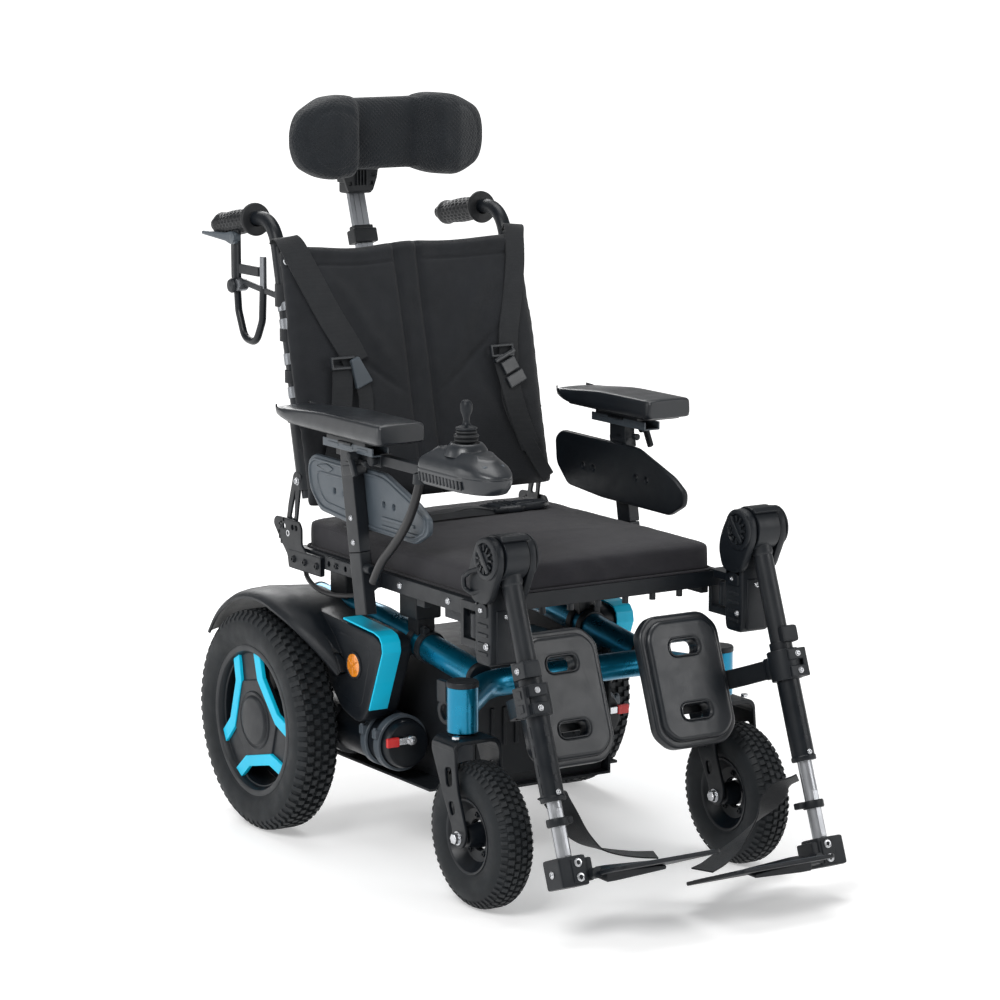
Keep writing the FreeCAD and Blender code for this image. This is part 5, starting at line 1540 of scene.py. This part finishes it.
def leg_tubes(side, sign, drop):
    """Upper tube, sleeve clamp with its bracket, slotted lower sleeve and inner tube."""
    body = "leg_" + side
    kit = Kit()
    kit.lathe([(-19.5, 0.5), (-19.5, 33), (-18, 34), (18, 34), (19.5, 33), (19.5, 0.5)],
              (sign * DRUM.x, DRUM.y, DRUM.z), X, 56,
              lambda along, angle: 0.35 * math.sin(angle * 28) if abs(along) < 19 else 0)
    down = on_leg(1, 1) - on_leg(1, 0)
    kit.lathe([(8, 1), (8, 15), (184, 15), (184, 1)], on_leg(sign, 0), down, 40)
    kit.lathe([(12, 15), (12, 18), (40, 17), (44, 15)], on_leg(sign, 0), down, 40)
    kit.lathe([(178, 1), (178, 17.5), (236, 17.5), (352, 17.5), (353.5, 19), (358.5, 19),
               (360, 18), (360, 11.2)], on_leg(sign, 0), down, 48)
    kit.piece("leg_tube_body_" + side, "black_metal", body, ("leg_tube_" + side,))
    clamp = Kit()
    clamp.lathe([(190, 17), (190, 23), (191.5, 24), (234.5, 24), (236, 23), (236, 17)],
                on_leg(sign, 0), down, 40)
    for along in (200, 226):
        clamp.box(on_leg(sign, along, 20, -6), (30, 14, 17), LEG_UP, 2.5)
    clamp.box(on_leg(sign, 213, 6, -24), (9, 30, 44), LEG_UP, 2)
    for along in (203, 223):
        clamp.box(on_leg(sign, along, 8, -29), (1.6, 12, 12), LEG_UP, 0.8)
    clamp.box(on_leg(sign, 168, 4, -6), (30, 36, 26), LEG_UP, 5)
    for along in (258, 286, 314, 340):
        clamp.box(on_leg(sign, along, 0, -17.2), (1.6, 7, 17), LEG_UP, 0.7)
        clamp.box(on_leg(sign, along, 17.2, 0), (7, 1.6, 17), LEG_UP, 0.7)
    clamp.piece("leg_clamp_" + side, "black_plastic", body)
    screws = Kit()
    forward = on_leg(1, 0, 1) - on_leg(1, 0, 0)
    for along in (200, 226):
        screws.bolt(on_leg(sign, along, 27, -8), forward, 3.6, 3)
    screws.bolt(on_leg(sign, 168, 4, -21), X * sign, 4, 3)
    screws.bolt(on_leg(sign, 348, 18, 0), forward, 3.2, 2.6)
    screws.piece("leg_screws_" + side, "steel", body)
    slider = "leg_slider_" + side
    inner = Kit()
    inner.lathe([(250, 1), (250, 11), (449 + drop, 11), (449 + drop, 1)], on_leg(sign, 0), down,
                40)
    inner.box(on_leg(sign, 405 + drop, 10.2, 0), (9, 2.2, 70), LEG_UP, 0.8)
    inner.piece("inner_tube_" + side, "grey_alloy", slider, ("leg_slider_" + side,))
    block = Kit()
    block.box(on_leg(sign, 463 + drop, 0, -2), (47, 44, 44), LEG_UP, 4)
    block.box(on_leg(sign, 463 + drop, 22.4, 6), (22, 3, 34), LEG_UP, 1.4)
    block.box(on_leg(sign, 463 + drop, 0, 26), (12, 40, 34), LEG_UP, 3)
    block.lathe([(384 + drop, 11.1), (384 + drop, 15.5), (386 + drop, 16.5),
                 (394 + drop, 16.5), (396 + drop, 15.5), (396 + drop, 11.1)],
                on_leg(sign, 0), down, 32)
    block.box(on_leg(sign, 389 + drop, -6, 17), (20, 14, 10), LEG_UP, 2)
    block.lathe([(441 + drop, 11.1), (441 + drop, 16), (446 + drop, 17)], on_leg(sign, 0), down,
                32)
    block.piece("foot_block_" + side, "black_plastic", slider)
    sockets = Kit()
    for along in (452, 473):
        place = on_leg(sign, along + drop, 23.2, 6)
        sockets.lathe([(0, 1.2), (0, 6.4), (2, 6.4), (2.6, 5.6), (2.6, 3.4), (0.6, 3.2), (0.6, 0)],
                      place, forward, 28)
    sockets.bolt(on_leg(sign, 463 + drop, 0, -26), X * sign, 4.4, 2)
    sockets.piece("foot_block_bolts_" + side, "steel", slider)


def calf_support(side, sign):
    """A moulded calf pad with two slots, on a curved arm from the clamp."""
    body = "calf_" + side
    half_u, half_v, thick, corner = 73.0, 102.0, 30.0, 24.0
    down = on_leg(1, 1) - on_leg(1, 0)
    forward = on_leg(1, 0, 1) - on_leg(1, 0, 0)
    middle = on_leg(sign, 205, -100, 114)

    def octagon(shrink):
        u, v, cut_off = half_u - shrink, half_v - shrink, corner - shrink * 0.4
        return rounded([(-u + cut_off, -v), (u - cut_off, -v), (u, -v + cut_off),
                        (u, v - cut_off), (u - cut_off, v), (-u + cut_off, v),
                        (-u, v - cut_off), (-u, -v + cut_off)], 13, 5)

    slots = [rounded(oblong(25, 10.5, 0, way * 49), 10.5, 6) for way in (-1, 1)]
    kit = Kit()
    kit.slab(octagon(0), basis(middle - forward * 4, X, -down), thick - 9, 5, slots, 3)
    kit.slab(octagon(9), basis(middle + forward * 4, X, -down), thick - 9, 7, slots, 4)
    pad = kit.piece("calf_cushion_" + side, "soft_pu", body, ("calf_pad_" + side,), 40)
    lips = Kit()
    for way in (-1, 1):
        path = [middle + forward * 14.6 + X * point[0] - down * point[1] for point in
                rounded(oblong(27, 12.5, 0, way * 49), 12, 6)]
        path.append(path[0])
        lips.tube(path, 1.2, 8)
    lips.piece("calf_slot_lips_" + side, "soft_pu", body)
    arm = Kit()
    swing = [on_leg(sign, 213, -14, 2), on_leg(sign, 213, -42, 5), on_leg(sign, 213, -74, 12),
             on_leg(sign, 213, -100, 20), on_leg(sign, 213, -115, 32), on_leg(sign, 213, -119, 56),
             on_leg(sign, 213, -118, 92)]
    arm.ribbon(along_curve(swing, 5), (X * sign, X * sign, X * sign - forward * 0.2,
                                       -forward, -forward), 29, 8)
    arm.box(on_leg(sign, 213, -118, 108), (74, 7, 84), LEG_UP, 2.5)
    arm.lathe([(-16, 1), (-16, 12), (-14, 13), (14, 13), (16, 12), (16, 1)],
              on_leg(sign, 213, -28, 2), down, 32)
    arm.piece("calf_arm_" + side, "black_metal", body)
    bolts = Kit()
    for way in (-1, 1):
        bolts.bolt(on_leg(sign, 213 + way * 22, -121.5, 108), -forward, 4.2, 3)
    bolts.piece("calf_bolts_" + side, "steel", body)


def footplate(side, sign, drop):
    """A thin moulded footplate with a lighter ribbed tread and its hinge knuckles."""
    body = "footplate_" + side
    along = 472 + drop
    forward = on_leg(1, 0, 1) - on_leg(1, 0, 0)
    inward = X * -sign
    middle = on_leg(sign, along, 14, 125.5)
    frame_of = basis(middle, X, forward)
    kit = Kit()
    outline = [(-93, -66), (-84, -72.5), (84, -72.5), (93, -64), (93, 56), (82, 72.5),
               (-84, 72.5), (-93, 66)]
    kit.slab(rounded(outline, 9), frame_of, 6, 1.6)
    kit.piece("foot_tread_" + side, "black_plastic", body, ("footplate_" + side,))
    up = (frame_of.to_3x3() @ Z).normalized()
    if up.z < 0:
        up = -up
    ribs = Kit()
    for index in range(9):
        place = middle + (frame_of.to_3x3() @ Vector((0, -52 + index * 13, 0))) + up * 3.2
        ribs.box(place, (150, 4.2, 1.6), frame_of.to_3x3(), 0.6)
    ribs.box(middle + inward * 60 + up * 3.1, (40, 128, 1.2), frame_of.to_3x3(), 0.5)
    ribs.piece("foot_ribs_" + side, "grey_plastic", body)
    hinge = Kit()
    for way in (-1, 1):
        hinge.lathe([(-10, 1), (-10, 8), (10, 8), (10, 1)],
                    on_leg(sign, 471 + drop, way * 22, 30.4), forward, 28)
        hinge.box(on_leg(sign, 471 + drop, way * 22, 38), (24, 18, 7), LEG_UP, 2)
    taper = [(46, -8), (46, 8), (64, 8), (150, 2.5), (150, -4), (64, -8)]
    hinge.slab(rounded([(sign * -u, v) for u, v in taper], 3),
               basis(on_leg(sign, 474 + drop, 14, 0), X, Z), 34, 2)
    hinge.piece("foot_hinge_" + side, "black_metal", body)


def heel_strap(side, sign, drop):
    """Webbing from the slider's clip, sagging back to the footplate's inner end."""
    kit = Kit()
    run = [(224, -740, 207), (206, -730, 196), (190, -722, 176), (172, -716, 150), (150, -713, 126),
           (126, -714, 108), (100, -722, 99), (70, -737, 94), (42, -749, 92)]
    path = [(sign * x, y, z - drop) for x, y, z in run]
    ups = [Vector((sign * 0.6, 0, 0.8)), Vector((sign * 0.55, 0.1, 0.8)),
           Vector((sign * 0.2, 0.25, 1)), Vector((0, 0.1, 1)), Vector((0, 0, 1))]
    kit.ribbon(along_curve(path, 7), ups, 38, 2.4)
    kit.piece("heel_loop_" + side, "webbing", "leg_slider_" + side, ("heel_strap_" + side,))


# ---------------------------------------------------------------- cords and belt

def cord(name, node, body, route, diameter):
    """A cable along the CAD route's own points, as one smooth spline."""
    line = bpy.data.curves.new(name, "CURVE")
    line.dimensions = "3D"
    spline = line.splines.new("NURBS")
    spline.points.add(len(route) - 1)
    for point, place in zip(spline.points, route):
        point.co = (*place, 1)
    spline.order_u = 3
    spline.use_endpoint_u = True
    spline.resolution_u = 12
    line.bevel_depth = diameter / 2
    line.bevel_resolution = 5
    line.use_fill_caps = True
    made = bpy.data.objects.new(name, line)
    bpy.context.scene.collection.objects.link(made)
    dress(made, "cable_skin")
    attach(made, body)
    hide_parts(node)


LEAD_ROUTE = [at(place) for place in (
    (-256, -438, 622), (-258, -426, 585), (-258, -398, 546), (-258, -362, 512),
    (-258, -324, 482), (-256, -300, 448))]
LOOM_ROUTE = [at(place) for place in (
    (-214, -16, 428), (-222, -26, 417), (-236, -62, 409), (-245, -112, 402),
    (-243, -158, 401), (-226, -196, 406), (-204, -214, 416), (-196, -222, 431))]


def lap_belt():
    """A folded length of webbing with its long buckle, lying on the seat's near edge."""
    web = Kit()
    path = [(-214, BELT_Y, 505.6), (-190, BELT_Y, 507.4), (-120, BELT_Y - 2, 507),
            (-40, BELT_Y + 2, 508.4), (40, BELT_Y, 507.2)]
    web.ribbon(along_curve(path, 5), ((-0.2, 0, 1), (0, 0.05, 1), (0, -0.04, 1), (0, 0, 1)), 44,
               2.2)
    fold = [(-60, BELT_Y + 5, 510), (-30, BELT_Y + 4, 515), (10, BELT_Y + 3, 517),
            (46, BELT_Y, 512)]
    web.ribbon(along_curve(fold, 5), ((0, 0, 1), (0, 0.12, 1), (0, 0, 1)), 42, 2)
    rolled = [(-206, BELT_Y - 21, 508), (-110, BELT_Y - 24, 511), (-20, BELT_Y - 22, 512.5),
              (48, BELT_Y - 18, 511)]
    web.ribbon(along_curve(rolled, 5), ((0, -1, 0.5), (0, -1, 0.9), (0, -1, 0.6)), 12, 2.4)
    web.piece("belt_webbing", "webbing", "chassis", ("lap_belt",))
    buckle = Kit()
    buckle.slab(rounded([(-52, -24), (-10, -24), (-2, -19), (34, -19), (50, -10), (50, 10),
                         (34, 19), (-2, 19), (-10, 24), (-52, 24)], 5),
                Matrix.Translation((101, BELT_Y, 512)), 12, 3.5)
    buckle.slab(rounded([(-20, -10), (14, -10), (14, 10), (-20, 10)], 4),
                Matrix.Translation((110, BELT_Y, 518.4)), 2.6, 1)
    for across in (-38, -28, -18):
        buckle.box((101 + across, BELT_Y, 518.4), (4, 40, 3), None, 1)
    buckle.piece("belt_buckle", "gloss_black", "chassis")
    bar = Kit()
    for across in (-10, 10):
        bar.box((52 + across, BELT_Y, 512), (6, 50, 7), None, 2)
    for along in (-23, 23):
        bar.box((52, BELT_Y + along, 512), (24, 5, 7), None, 2)
    bar.piece("belt_slide_bar", "black_plastic", "chassis")


# ---------------------------------------------------------------- making

seat_cushion()
back_pad()
harness()
headrest()
canes()
grips()
recline_lever()
hinges()
blue_frame()
lap_belt()
cord("joystick_cable", "joystick_lead", "arm_right", LEAD_ROUTE, 0.014)
cord("loom_cable", "wire_loom", "chassis", LOOM_ROUTE, 0.008)
for side, sign in SIDES:
    drive_tyre(side, sign)
    drive_rim(side, sign)
    caster_wheel(side, sign)
    caster_fork(side, sign)
    side_cover(side, sign)
    cover_trim(side, sign)
    motor(side, sign)
    arm_pad(side, sign)
    arm_support(side, sign)
    hanger(side, sign)
    drop = LEFT_DROP if sign > 0 else 0
    leg_tubes(side, sign, drop)
    calf_support(side, sign)
    footplate(side, sign, drop)
    heel_strap(side, sign, drop)
frame_fittings()
joystick()

for entry in frame["record"]["subparts"]:
    kept = frame["nodes"][entry["node"]]
    if not kept.hide_render:
        dress(kept, entry["material_slot"])

# ---------------------------------------------------------------- stage

AIM = Vector((0, 0, 0.55))


def softbox(name, place, aim, size, power, colour=(1, 1, 1)):
    """An area light turned towards a place."""
    data = bpy.data.lights.new(name, "AREA")
    data.shape = "SQUARE"
    data.size = size
    data.energy = power
    data.color = colour
    made = bpy.data.objects.new(name, data)
    made.location = place
    made.rotation_euler = (Vector(aim) - Vector(place)).to_track_quat("-Z", "Y").to_euler()
    bpy.context.scene.collection.objects.link(made)


softbox("key", (-2.4, -1.6, 2.8), AIM, 1.5, 75)
softbox("fill", (2.2, -2.6, 1.7), AIM, 1.6, 26)
softbox("top", (0.2, 0.5, 3.2), AIM, 2.0, 48)
softbox("rim", (0.6, 2.6, 1.8), AIM, 1.4, 28)
softbox("side", (-2.6, 1.4, 1.2), AIM, 1.2, 14)

world = bpy.data.worlds.new("studio")
world.use_nodes = True
world.node_tree.nodes["Background"].inputs["Color"].default_value = (1.0, 1.0, 1.0, 1)
world.node_tree.nodes["Background"].inputs["Strength"].default_value = 0.32
bpy.context.scene.world = world


def glowing_floor():
    """White paper lit from within: a painted glow, faint near the chair where it lightens the
    chair's shadow, and full further away.
    """
    made = look("glowing_floor", (0.82, 0.82, 0.82), 0.6, mottle=0.003, edge=0.0, specular=0.1,
                soften=0.0)
    tree = made.node_tree
    shader = tree.nodes["Principled BSDF"]
    coords = node_of(tree, "TexCoord").outputs["Object"]
    length = node_of(tree, "VectorMath", operation="LENGTH")
    link(tree, coords, length.inputs[0])
    # Painted glow: emission 0.36 near the chair, rising to 1.0 four metres out.
    glow = spread(tree, length.outputs["Value"], 0.36, 1.0, 0.6, 4.0)
    link(tree, glow, shader.inputs["Emission Strength"])
    shader.inputs["Emission Color"].default_value = (1, 1, 1, 1)
    return made


floor_mesh = bpy.data.meshes.new("floor")
reach = 70.0
floor_mesh.from_pydata([(-reach, -reach, 0), (reach, -reach, 0), (reach, reach, 0),
                        (-reach, reach, 0)], [], [(0, 1, 2, 3)])
floor = bpy.data.objects.new("floor", floor_mesh)
floor_mesh.materials.append(glowing_floor())
bpy.context.scene.collection.objects.link(floor)

lens = bpy.data.cameras.new("camera")
lens.sensor_width = 36
lens.lens = 126.7
lens.shift_y = -0.0016
camera = bpy.data.objects.new("camera", lens)
camera.location = at((-2915, -4848, 1479))
camera.rotation_euler = (math.radians(80.28), 0, -math.radians(32.41))
bpy.context.scene.collection.objects.link(camera)
bpy.context.scene.camera = camera
bpy.context.scene.view_settings.view_transform = "Standard"
